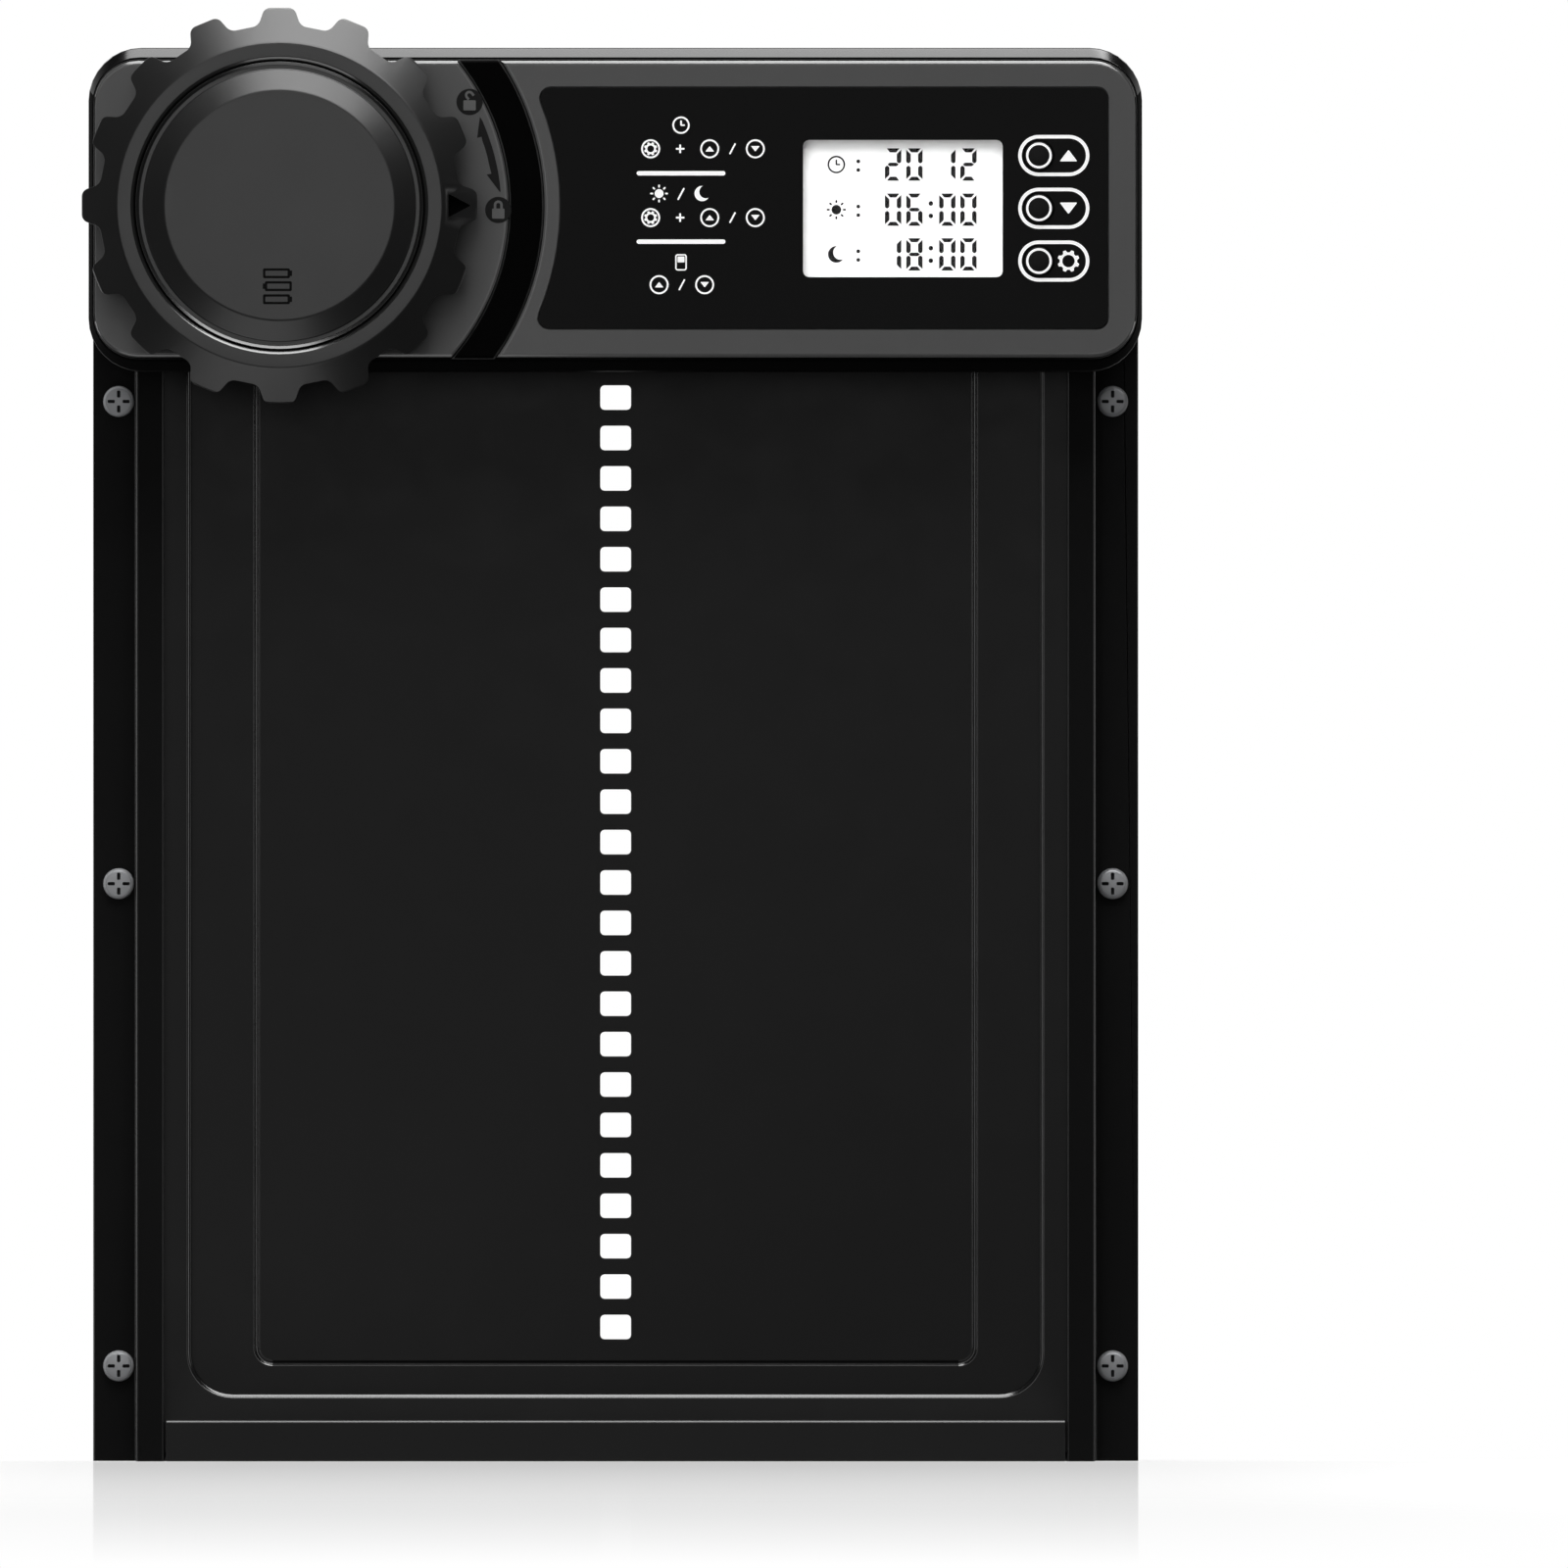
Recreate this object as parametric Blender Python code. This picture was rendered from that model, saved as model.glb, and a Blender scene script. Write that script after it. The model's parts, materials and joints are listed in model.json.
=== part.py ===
"""Automatic coop door: a slotted sheet door that a toothed pinion lifts between two side rails.

The wall plane is y = 0 and the front faces -Y. Heights below are measured from the bottom edge
of the frame, and one empty lowers everything, so that the origin is on the back of the sill.
"""

import math

import bmesh
import bpy
from mathutils import Matrix, Vector

MM = 0.001
GAP = 0.3 * MM  # clearance between pieces that touch on the real object

# Frame: two side rails, a sill, an opening plate and a crossbar behind the door.
RAIL_EDGE = 124.2 * MM  # outer edge of the screw flange, from the centre line
CHANNEL_OUTER = 113.9 * MM
CHANNEL_LIP = 107.2 * MM  # inner edge of the channel's two lips
CHANNEL_WALL = 1.5 * MM
CHANNEL_DEPTH = 12.0 * MM
FLANGE = 2.0 * MM
RAIL_TOP = 320.0 * MM
SILL_HEIGHT = 9.9 * MM
SILL_SEAT = 10.2 * MM
PLATE_FRONT = -10.2 * MM
PLATE_THICK = 1.2 * MM
PLATE_TOP = 318.0 * MM
OPENING_HALF = 101.2 * MM
OPENING_BOTTOM = 15.6 * MM
OPENING_TOP = 304.0 * MM
OPENING_RADIUS = 10.2 * MM
INSIDE_CHANNEL = CHANNEL_OUTER - CHANNEL_WALL - GAP

# Door: its slots are the rack that the pinion climbs.
DOOR_FRONT = -8.4 * MM
DOOR_THICK = 1.5 * MM
DOOR_HALF = 111.0 * MM
DOOR_BOTTOM = 10.5 * MM
DOOR_TOP = 335.7 * MM
DOOR_CORNER = 4.0 * MM
PITCH = 9.6 * MM
SLOTS = 28
SLOT_LOWEST = 31.9 * MM
SLOT_WIDTH = 7.3 * MM
SLOT_HEIGHT = 5.8 * MM
BEAD_HALF = 85.3 * MM
BEAD_BOTTOM = 23.3 * MM
BEAD_TOP = 322.0 * MM
BEAD_RADIUS = 3.8 * MM

# Drive: pinion, shaft, bush and a sealed worm gearmotor.
TEETH = 10
PITCH_RADIUS = TEETH * PITCH / (2 * math.pi)
PINION_Y = DOOR_FRONT + DOOR_THICK / 2 - PITCH_RADIUS
PINION_Z = SLOT_LOWEST + 26 * PITCH
SHAFT_RADIUS = 2.5 * MM
GEARBOX_X = (9.0 * MM, 33.0 * MM)
GEARBOX_Y = (-39.5 * MM, -15.1 * MM)
GEARBOX_Z = (268.0 * MM, 296.0 * MM)
MOTOR_AXIS = (21.0 * MM, -29.5 * MM)

# Header box: a back shell and a front cover.
HEADER_Z = 297.1 * MM
SHELL_BACK = -12.3 * MM
SHELL_FLOOR = -14.3 * MM
SHELL_RIM = -41.0 * MM
COVER_RIM = -41.3 * MM
COVER_INNER = -48.1 * MM
FACE = -50.3 * MM
SHELL_SIZE = (124.9 * MM, 38.35 * MM, 12.5 * MM)  # half width, half height, corner radius
CASE_SCREW = (117.5 * MM, 24.0 * MM)  # from the centre line, from the header's middle
HEADER_SCREW = (119.0 * MM, 10.0 * MM)

# Battery bay and its turning cap.
CAP_X = -79.5 * MM
CAP_Z = 297.9 * MM
BORE = 31.5 * MM
PLUG = 31.2 * MM
CELL_RADIUS = 7.1 * MM
CELL_SPACING = 14.8 * MM
CELL_Y = -34.1 * MM
LOBES = 16
LOBE_RADIUS = 46.9 * MM
VALLEY_RADIUS = 42.8 * MM
UNLOCK = math.radians(30)

# Control panel.
ARC_GROOVE = (54.5 * MM, 62.5 * MM)
PANEL_ARC = 66.3 * MM
PANEL_RIGHT = 117.0 * MM
PANEL_Z = (268.5 * MM, 326.2 * MM)
WINDOW_X = (44.5 * MM, 91.8 * MM)
WINDOW_Z = (281.0 * MM, 313.5 * MM)
BUTTON_X = 100.4 * MM
BUTTON_Z = {"up": 309.8 * MM, "down": 297.3 * MM, "set": 284.8 * MM}
BUTTON_RADIUS = 3.4 * MM
BOARD_Y = (-42.0 * MM, -40.4 * MM)
BOARD_POSTS = [(x * MM, z * MM) for x in (39.5, 109.5) for z in (271.0, 323.0)]

WALL_SCREW_X = 118.1 * MM
WALL_SCREW_Z = (22.6 * MM, 137.2 * MM, 251.8 * MM)

FINISHES = {  # colour, roughness, metallic
    "black_paint": ((0.006, 0.006, 0.006), 0.5, 0.0),
    "charcoal_plastic": ((0.068, 0.068, 0.068), 0.45, 0.0),
    "gloss_black": ((0.007, 0.007, 0.007), 0.15, 0.0),
    "white_nylon": ((0.75, 0.75, 0.72), 0.5, 0.0),
    "grey_steel": ((0.25, 0.25, 0.25), 0.35, 1.0),
    "bright_steel": ((0.6, 0.6, 0.6), 0.25, 1.0),
    "rubber": ((0.01, 0.01, 0.01), 0.8, 0.0),
    "circuit_green": ((0.01, 0.12, 0.04), 0.5, 0.0),
    "cell_jacket": ((0.05, 0.08, 0.2), 0.3, 0.0),
    "clear": ((0.8, 0.85, 0.85), 0.05, 0.0),
}


# Scene, materials and objects ---------------------------------------------------------------

for old in list(bpy.data.objects):
    bpy.data.objects.remove(old)


def empty(name, at=(0, 0, 0), parent=None):
    made = bpy.data.objects.new(name, None)
    made.location = at
    made.parent = parent
    bpy.context.collection.objects.link(made)
    return made


def finish_of(name):
    if name in bpy.data.materials:
        return bpy.data.materials[name]
    colour, roughness, metallic = FINISHES[name]
    made = bpy.data.materials.new(name)
    made.use_nodes = True
    shader = made.node_tree.nodes["Principled BSDF"]
    shader.inputs["Base Color"].default_value = (*colour, 1)
    shader.inputs["Roughness"].default_value = roughness
    shader.inputs["Metallic"].default_value = metallic
    return made


ASSEMBLY = empty("assembly", at=(0, 0, -SILL_HEIGHT / 2))


def mesh_of(name, shape):
    """A bmesh, closed up and with its faces pointing out, as a mesh."""
    bmesh.ops.remove_doubles(shape, verts=shape.verts, dist=1e-7)
    bmesh.ops.recalc_face_normals(shape, faces=shape.faces)
    mesh = bpy.data.meshes.new(name)
    shape.to_mesh(mesh)
    shape.free()
    mesh.shade_smooth()
    mesh.set_sharp_from_angle(angle=math.radians(30))
    return mesh


def piece(name, shape, finish, at=(0, 0, 0), parent=ASSEMBLY):
    mesh = shape if isinstance(shape, bpy.types.Mesh) else mesh_of(name, shape)
    if not mesh.materials:
        mesh.materials.append(finish_of(finish))
    made = bpy.data.objects.new(name, mesh)
    made.location = at
    made.parent = parent
    bpy.context.collection.objects.link(made)
    return made


def boolean(target, shape, operation):
    """Cuts a shape from a piece, or joins it on. The shape is in the piece's own coordinates."""
    name = f"{target.name}_{operation.lower()}_{len(target.modifiers)}"
    helper = bpy.data.objects.new(name, mesh_of(name, shape))
    helper.location = target.location
    helper.parent = target.parent
    helper.hide_render = True
    helper.display_type = "WIRE"
    bpy.context.collection.objects.link(helper)
    modifier = target.modifiers.new(name, "BOOLEAN")
    modifier.operation = operation
    modifier.solver = "EXACT"
    modifier.object = helper


def cut(target, shape):
    boolean(target, shape, "DIFFERENCE")


def join(target, shape):
    boolean(target, shape, "UNION")


# Shapes --------------------------------------------------------------------------------------


def loft(rings):
    """A closed body through rings of points, with both ends capped."""
    shape = bmesh.new()
    loops = [[shape.verts.new(point) for point in ring] for ring in rings]
    for first, second in zip(loops, loops[1:]):
        for i in range(len(first)):
            j = (i + 1) % len(first)
            shape.faces.new((first[i], first[j], second[j], second[i]))
    shape.faces.new(loops[0])
    shape.faces.new(loops[-1])
    return shape


def band(rings):
    """A closed ring-shaped body: the last ring joins the first."""
    shape = bmesh.new()
    loops = [[shape.verts.new(point) for point in ring] for ring in rings]
    for first, second in zip(loops, loops[1:] + loops[:1]):
        for i in range(len(first)):
            j = (i + 1) % len(first)
            shape.faces.new((first[i], first[j], second[j], second[i]))
    return shape


def placed(outline, axis, along):
    """Points of a flat outline, set across an axis: Y takes (x, z), Z takes (x, y), X takes (y, z)."""
    if axis == "X":
        return [(along, u, v) for u, v in outline]
    if axis == "Y":
        return [(u, along, v) for u, v in outline]
    return [(u, v, along) for u, v in outline]


def prism(outline, low, high, axis="Y"):
    return loft([placed(outline, axis, low), placed(outline, axis, high)])


def box(x, y, z):
    """A block from its low and high limits along each axis."""
    return prism([(x[0], z[0]), (x[1], z[0]), (x[1], z[1]), (x[0], z[1])], y[0], y[1])


def arc(centre, radius, start, end, steps):
    """Points on an arc, angles in radians, both ends included."""
    angles = [start + (end - start) * i / steps for i in range(steps + 1)]
    return [(centre[0] + radius * math.cos(a), centre[1] + radius * math.sin(a)) for a in angles]


def in_mm(points):
    return [(u * MM, v * MM) for u, v in points]


def circle(centre, radius, sides):
    return arc(centre, radius, 0, 2 * math.pi * (sides - 1) / sides, sides - 1)


def rounded(low_x, high_x, low_z, high_z, radius, steps=5):
    """A rectangle with round corners."""
    turn = math.pi / 2
    return (
        arc((high_x - radius, low_z + radius), radius, -turn, 0, steps)
        + arc((high_x - radius, high_z - radius), radius, 0, turn, steps)
        + arc((low_x + radius, high_z - radius), radius, turn, 2 * turn, steps)
        + arc((low_x + radius, low_z + radius), radius, 2 * turn, 3 * turn, steps)
    )


def sector(inner, outer, start, end, steps, centre=(0, 0)):
    """A piece of a flat ring, between two angles."""
    return arc(centre, outer, start, end, steps) + arc(centre, inner, end, start, steps)


def turned(profile, sides, axis="Y", at=(0, 0, 0)):
    """A closed body turned about an axis, from (radius, along) points in order round its section."""
    shape = bmesh.new()
    loops = []
    for radius, along in profile:
        if radius == 0:
            ring = [(0, 0)]
        else:
            ring = circle((0, 0), radius, sides)
        loops.append([shape.verts.new(point) for point in placed(ring, axis, along)])
    for first, second in zip(loops, loops[1:] + loops[:1]):
        if len(first) == len(second) == 1:
            continue
        for i in range(sides):
            j = (i + 1) % sides
            corners = (
                first[i % len(first)],
                first[j % len(first)],
                second[j % len(second)],
                second[i % len(second)],
            )
            shape.faces.new(dict.fromkeys(corners))
    bmesh.ops.translate(shape, verts=shape.verts, vec=at)
    return shape


def rod(radius, low, high, sides, axis="Y", at=(0, 0, 0)):
    return turned([(0, low), (radius, low), (radius, high), (0, high)], sides, axis, at)


def merged(shapes):
    """Several separate bodies as one helper mesh, for one cut or join."""
    whole = bmesh.new()
    for shape in shapes:
        bmesh.ops.recalc_face_normals(shape, faces=shape.faces)
        mesh = bpy.data.meshes.new("merged")
        shape.to_mesh(mesh)
        shape.free()
        whole.from_mesh(mesh)
        bpy.data.meshes.remove(mesh)
    return whole


def header_ring(half_width, half_height, radius, y):
    low, high = HEADER_Z - half_height, HEADER_Z + half_height
    return placed(rounded(-half_width, half_width, low, high, radius, steps=8), "Y", y)


def cross_recess(reach, width, front, back):
    """The cross in a screw's head, as a cutter between two places along Y."""
    r, w = reach, width / 2
    outline = [(r, -w), (r, w), (w, w), (w, r), (-w, r), (-w, w)]
    outline += [(-x, -z) for x, z in outline]
    return prism(outline, front, back)


# Frame ---------------------------------------------------------------------------------------


def make_rail(name, side):
    outer, lip = CHANNEL_OUTER, CHANNEL_LIP
    section = [
        (RAIL_EDGE, 0),
        (RAIL_EDGE, -FLANGE),
        (outer, -FLANGE),
        (outer, -CHANNEL_DEPTH),
        (lip, -CHANNEL_DEPTH),
        (lip, -CHANNEL_DEPTH + CHANNEL_WALL),
        (outer - CHANNEL_WALL, -CHANNEL_DEPTH + CHANNEL_WALL),
        (outer - CHANNEL_WALL, -CHANNEL_WALL),
        (lip, -CHANNEL_WALL),
        (lip, 0),
    ]
    rail = piece(name, prism([(side * x, y) for x, y in section], 0, RAIL_TOP, "Z"), "black_paint")
    beyond = 1 * MM
    holes = [
        rod(2.2 * MM, -FLANGE - beyond, beyond, 12, at=(side * WALL_SCREW_X, 0, z))
        for z in WALL_SCREW_Z
    ]
    for step in (-1, 1):
        at = (side * HEADER_SCREW[0], 0, HEADER_Z + step * HEADER_SCREW[1])
        holes.append(countersink(3.1 * MM, 1.65 * MM, 1.45 * MM, FLANGE + beyond, at))
    for z in (SILL_SEAT / 2, PINION_Z):
        at = (side * BAR_SCREW_X, 0, z)
        holes.append(countersink(2.35 * MM, 1.35 * MM, 1.0 * MM, CHANNEL_WALL + beyond, at))
    cut(rail, merged(holes))


def countersink(head, shank, taper, depth, at):
    """A screw hole from the wall side: a cone that narrows to the shank's hole."""
    beyond = 0.5 * MM
    wide = head + beyond * (head - shank) / taper
    profile = [(0, beyond), (wide, beyond), (shank, -taper), (shank, -depth), (0, -depth)]
    return turned(profile, 12, at=at)


BAR_SCREW_X = (CHANNEL_LIP + CHANNEL_OUTER - CHANNEL_WALL) / 2


def make_sill():
    front = -CHANNEL_DEPTH
    slot_front, slot_back = PLATE_FRONT - GAP, PLATE_FRONT + PLATE_THICK + GAP
    web = 1.8 * MM
    section = [
        (0, 0),
        (front, 0),
        (front, SILL_HEIGHT - 0.5 * MM),
        (front + 0.5 * MM, SILL_HEIGHT),
        (slot_front, SILL_HEIGHT),
        (slot_front, web),
        (slot_back, web),
        (slot_back, SILL_SEAT),
        (0, SILL_SEAT),
    ]
    reach = CHANNEL_LIP - GAP
    sill = piece("sill_bar", prism(section, -reach, reach, "X"), "black_paint")
    overlap = 0.5 * MM
    ends = []
    for side in (-1, 1):
        x = sorted((side * (reach - overlap), side * INSIDE_CHANNEL))
        ends.append(box(x, (slot_back, -CHANNEL_WALL - GAP), (0, SILL_SEAT)))
    join(sill, merged(ends))
    cut(sill, merged([bar_screw_hole(side, SILL_SEAT / 2) for side in (-1, 1)]))


def bar_screw_hole(side, z):
    return rod(1.35 * MM, -5.9 * MM, -1 * MM, 12, at=(side * BAR_SCREW_X, 0, z))


def make_opening_plate():
    back = PLATE_FRONT + PLATE_THICK
    bottom = 1.8 * MM + GAP
    outline = [
        (-INSIDE_CHANNEL, bottom),
        (INSIDE_CHANNEL, bottom),
        (INSIDE_CHANNEL, PLATE_TOP),
        (-INSIDE_CHANNEL, PLATE_TOP),
    ]
    plate = piece("opening_plate", prism(outline, PLATE_FRONT, back), "black_paint")
    rings = []
    # The edge is rolled, so the opening is wider at the front than at the back.
    for spread, y in ((-0.4, back + 1 * MM), (-0.4, PLATE_FRONT + 0.7 * MM), (0.5, PLATE_FRONT)):
        grow = spread * MM
        outline = rounded(
            -OPENING_HALF - grow,
            OPENING_HALF + grow,
            OPENING_BOTTOM - grow,
            OPENING_TOP + grow,
            OPENING_RADIUS + grow,
            steps=8,
        )
        rings.append(placed(outline, "Y", y))
    rings.append([(x, y - 1 * MM, z) for x, y, z in rings[-1]])
    cut(plate, loft(rings))


def make_crossbar():
    front = DOOR_FRONT + DOOR_THICK + GAP
    back = -CHANNEL_WALL - GAP
    low, high = PINION_Z - 19.5 * MM, PINION_Z + 19.5 * MM
    bar = piece(
        "rear_crossbar",
        box((-INSIDE_CHANNEL, INSIDE_CHANNEL), (front, back), (low, high)),
        "white_nylon",
    )
    tooth_room = box((-5 * MM, 5 * MM), (front - 1 * MM, -4.0 * MM), (low - 1 * MM, high + 1 * MM))
    holes = [bar_screw_hole(side, PINION_Z) for side in (-1, 1)]
    cut(bar, merged([tooth_room] + holes))


def make_door_guide(name, side):
    """A plastic strip in the channel, behind the door's edge and round its side."""
    back, front = -CHANNEL_WALL - GAP, DOOR_FRONT + DOOR_THICK + GAP
    inner, outer = CHANNEL_LIP + GAP, INSIDE_CHANNEL
    edge = DOOR_HALF + 0.4 * MM
    section = [
        (inner, back),
        (outer, back),
        (outer, DOOR_FRONT),
        (edge, DOOR_FRONT),
        (edge, front),
        (inner + 0.6 * MM, front),
        (inner, front + 0.6 * MM),
    ]
    low, high = SILL_SEAT + GAP, PINION_Z - 19.5 * MM - GAP
    piece(name, prism([(side * x, y) for x, y in section], low, high, "Z"), "white_nylon")


# Door ----------------------------------------------------------------------------------------


def make_door():
    hinge_line = empty("door_slide", at=(0, DOOR_FRONT, DOOR_BOTTOM), parent=ASSEMBLY)
    height = DOOR_TOP - DOOR_BOTTOM
    turn = math.pi / 2
    outline = (
        [(-DOOR_HALF, 0), (DOOR_HALF, 0)]
        + arc((DOOR_HALF - DOOR_CORNER, height - DOOR_CORNER), DOOR_CORNER, 0, turn, 4)
        + arc((DOOR_CORNER - DOOR_HALF, height - DOOR_CORNER), DOOR_CORNER, turn, 2 * turn, 4)
    )
    door = piece("door_panel", prism(outline, 0, DOOR_THICK), "black_paint", parent=hinge_line)
    slots = []
    for i in range(SLOTS):
        middle = SLOT_LOWEST + i * PITCH - DOOR_BOTTOM
        w, h = SLOT_WIDTH / 2, SLOT_HEIGHT / 2
        outline = rounded(-w, w, middle - h, middle + h, 1.0 * MM, steps=2)
        slots.append(prism(outline, -1 * MM, DOOR_THICK + 1 * MM))
    cut(door, merged(slots))
    rings = []
    # The pressed bead shows as a shallow V-shaped groove in the front.
    for spread, y in ((-0.7, -0.2), (0, 0.6), (0.7, -0.2)):
        grow = spread * MM
        outline = rounded(
            -BEAD_HALF - grow,
            BEAD_HALF + grow,
            BEAD_BOTTOM - DOOR_BOTTOM - grow,
            BEAD_TOP - DOOR_BOTTOM + grow,
            BEAD_RADIUS + grow,
            steps=4,
        )
        rings.append(placed(outline, "Y", y * MM))
    cut(door, band(rings))


# Drive ---------------------------------------------------------------------------------------


def make_drive():
    axis = empty("pinion_axis", at=(0, PINION_Y, PINION_Z), parent=ASSEMBLY)
    outline = []
    for tooth in range(TEETH):
        middle = 2 * math.pi * tooth / TEETH
        for side in (-1, 1):
            flank = [(12.9, 3.1), (14.4, 2.55), (16.2, 1.95), (17.5, 1.15)]
            for radius, half in flank if side < 0 else reversed(flank):
                angle = middle + side * math.asin(half / radius)
                outline.append((radius * MM * math.cos(angle), radius * MM * math.sin(angle)))
    pinion = piece("drive_pinion", prism(outline, -2.9 * MM, 2.9 * MM, "X"), "white_nylon", parent=axis)
    join(pinion, rod(6.0 * MM, -5.2 * MM, 5.2 * MM, 20, "X"))
    cut(pinion, shaft_shape(SHAFT_RADIUS + GAP, -7 * MM, 7 * MM))
    piece("drive_shaft", shaft_shape(SHAFT_RADIUS, -15.5 * MM, 21.5 * MM), "bright_steel", parent=axis)

    bush = [(2.8, -14.2), (5.6, -14.2), (5.6, -13.2), (4.4, -13.2), (4.4, -8.4), (2.8, -8.4)]
    at = (0, PINION_Y, PINION_Z)
    piece("shaft_bush", turned(in_mm(bush), 20, "X"), "white_nylon", at=at)


def shaft_shape(radius, low, high):
    """A round shaft with one flat, or the bore for it."""
    flat = math.acos(0.8)
    outline = arc((0, 0), radius, flat, 2 * math.pi - flat, 16)
    return prism(outline, low, high, "X")


def make_gearmotor():
    x, y, z = GEARBOX_X, GEARBOX_Y, GEARBOX_Z
    c = 3 * MM
    outline = [
        (y[0] + c, z[0]),
        (y[1] - c, z[0]),
        (y[1], z[0] + c),
        (y[1], z[1] - c),
        (y[1] - c, z[1]),
        (y[0] + c, z[1]),
        (y[0], z[1] - c),
        (y[0], z[0] + c),
    ]
    gearbox = piece("gearbox_case", prism(outline, x[0], x[1], "X"), "black_paint")
    ears = box((x[1] - 1 * MM, x[1] + 8 * MM), (-21 * MM, -18 * MM), (z[0] + 1 * MM, z[1] - 1 * MM))
    collar = rod(5.5 * MM, x[0] - 1.6 * MM, x[0] + 1 * MM, 20, "X", at=(0, PINION_Y, PINION_Z))
    join(gearbox, merged([ears]))
    join(gearbox, collar)
    bore = rod(
        SHAFT_RADIUS + GAP, x[0] - 3 * MM, x[0] + 13 * MM, 16, "X", at=(0, PINION_Y, PINION_Z)
    )
    holes = [rod(1.7 * MM, -23 * MM, -16 * MM, 12, at=at) for at in gearbox_screw_places()]
    cut(gearbox, merged([bore] + holes))

    low = z[1] + GAP
    profile = [(0, 0), (7.5, 0), (9.5, 1.2), (9.5, 26.0), (8.6, 27.2), (3.2, 27.2)]
    profile += [(3.2, 28.6), (0, 28.6)]
    motor = turned([(r * MM, low + h * MM) for r, h in profile], 24, "Z")
    bmesh.ops.translate(motor, verts=motor.verts, vec=(*MOTOR_AXIS, 0))
    piece("motor_can", motor, "bright_steel")


def gearbox_screw_places():
    x = GEARBOX_X[1] + 4.3 * MM
    return [(x, 0, z) for z in (GEARBOX_Z[0] + 5 * MM, GEARBOX_Z[1] - 5 * MM)]


# Header --------------------------------------------------------------------------------------


def header_corners(place):
    """The four places at (x, z) about the header's middle."""
    return [(sx * place[0], 0, HEADER_Z + sz * place[1]) for sx in (-1, 1) for sz in (-1, 1)]


def make_back_shell():
    w, h, r = SHELL_SIZE
    small = 0.8 * MM
    rings = [
        header_ring(w - small, h - small, r - small, SHELL_BACK),
        header_ring(w, h, r, SHELL_BACK - small),
    ]
    # The front edge rolls in, more along the top and bottom than at the sides.
    for step in range(5):
        angle = math.pi / 2 * step / 4
        inward = 1 - math.cos(angle)
        y = SHELL_RIM + 2.6 * MM * (1 - math.sin(angle))
        rings.append(header_ring(w - 0.9 * MM * inward, h - 2.25 * MM * inward, r - 1.3 * MM * inward, y))
    rings += [
        header_ring(w - 1.9 * MM, h - 3.25 * MM, r - 2.3 * MM, SHELL_RIM),
        header_ring(w - 1.9 * MM, h - 3.25 * MM, r - 2.3 * MM, -39.5 * MM),
        header_ring(w - 3.6 * MM, h - 5.0 * MM, r - 4.0 * MM, -39.5 * MM),
        header_ring(w - 2.6 * MM, h - 2.6 * MM, r - 2.6 * MM, -35.0 * MM),
        header_ring(w - 2.6 * MM, h - 2.6 * MM, r - 2.6 * MM, SHELL_FLOOR),
    ]
    shell = piece("back_shell", loft(rings), "gloss_black")

    sink = 0.5 * MM
    inside = [rod(2.6 * MM, SHELL_FLOOR + sink, -40.6 * MM, 12, at=at) for at in header_corners(CASE_SCREW)]
    inside += [rod(3.2 * MM, SHELL_FLOOR + sink, -17.7 * MM, 12, at=at) for at in gearbox_screw_places()]
    pedestal = box(
        (-13.0 * MM, -8.7 * MM),
        (-29.5 * MM, SHELL_FLOOR + sink),
        (PINION_Z - 6.5 * MM, PINION_Z + 6.5 * MM),
    )
    behind = [rod(3.2 * MM, -2.3 * MM, SHELL_BACK - sink, 12, at=at) for at in header_corners(HEADER_SCREW)]
    join(shell, merged(inside + [pedestal] + behind))

    window = box((-6.5 * MM, 6.5 * MM), (-16 * MM, -10 * MM), (PINION_Z - 18.5 * MM, PINION_Z + 18.5 * MM))
    holes = [rod(1.65 * MM, -42 * MM, -11 * MM, 12, at=at) for at in header_corners(CASE_SCREW)]
    holes += [rod(1.3 * MM, -11.6 * MM, -1 * MM, 12, at=at) for at in header_corners(HEADER_SCREW)]
    holes += [rod(1.3 * MM, -19 * MM, -13.1 * MM, 12, at=at) for at in gearbox_screw_places()]
    holes.append(rod(4.7 * MM, -14 * MM, -7.5 * MM, 20, "X", at=(0, PINION_Y, PINION_Z)))
    cut(shell, merged([window] + holes))


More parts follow.
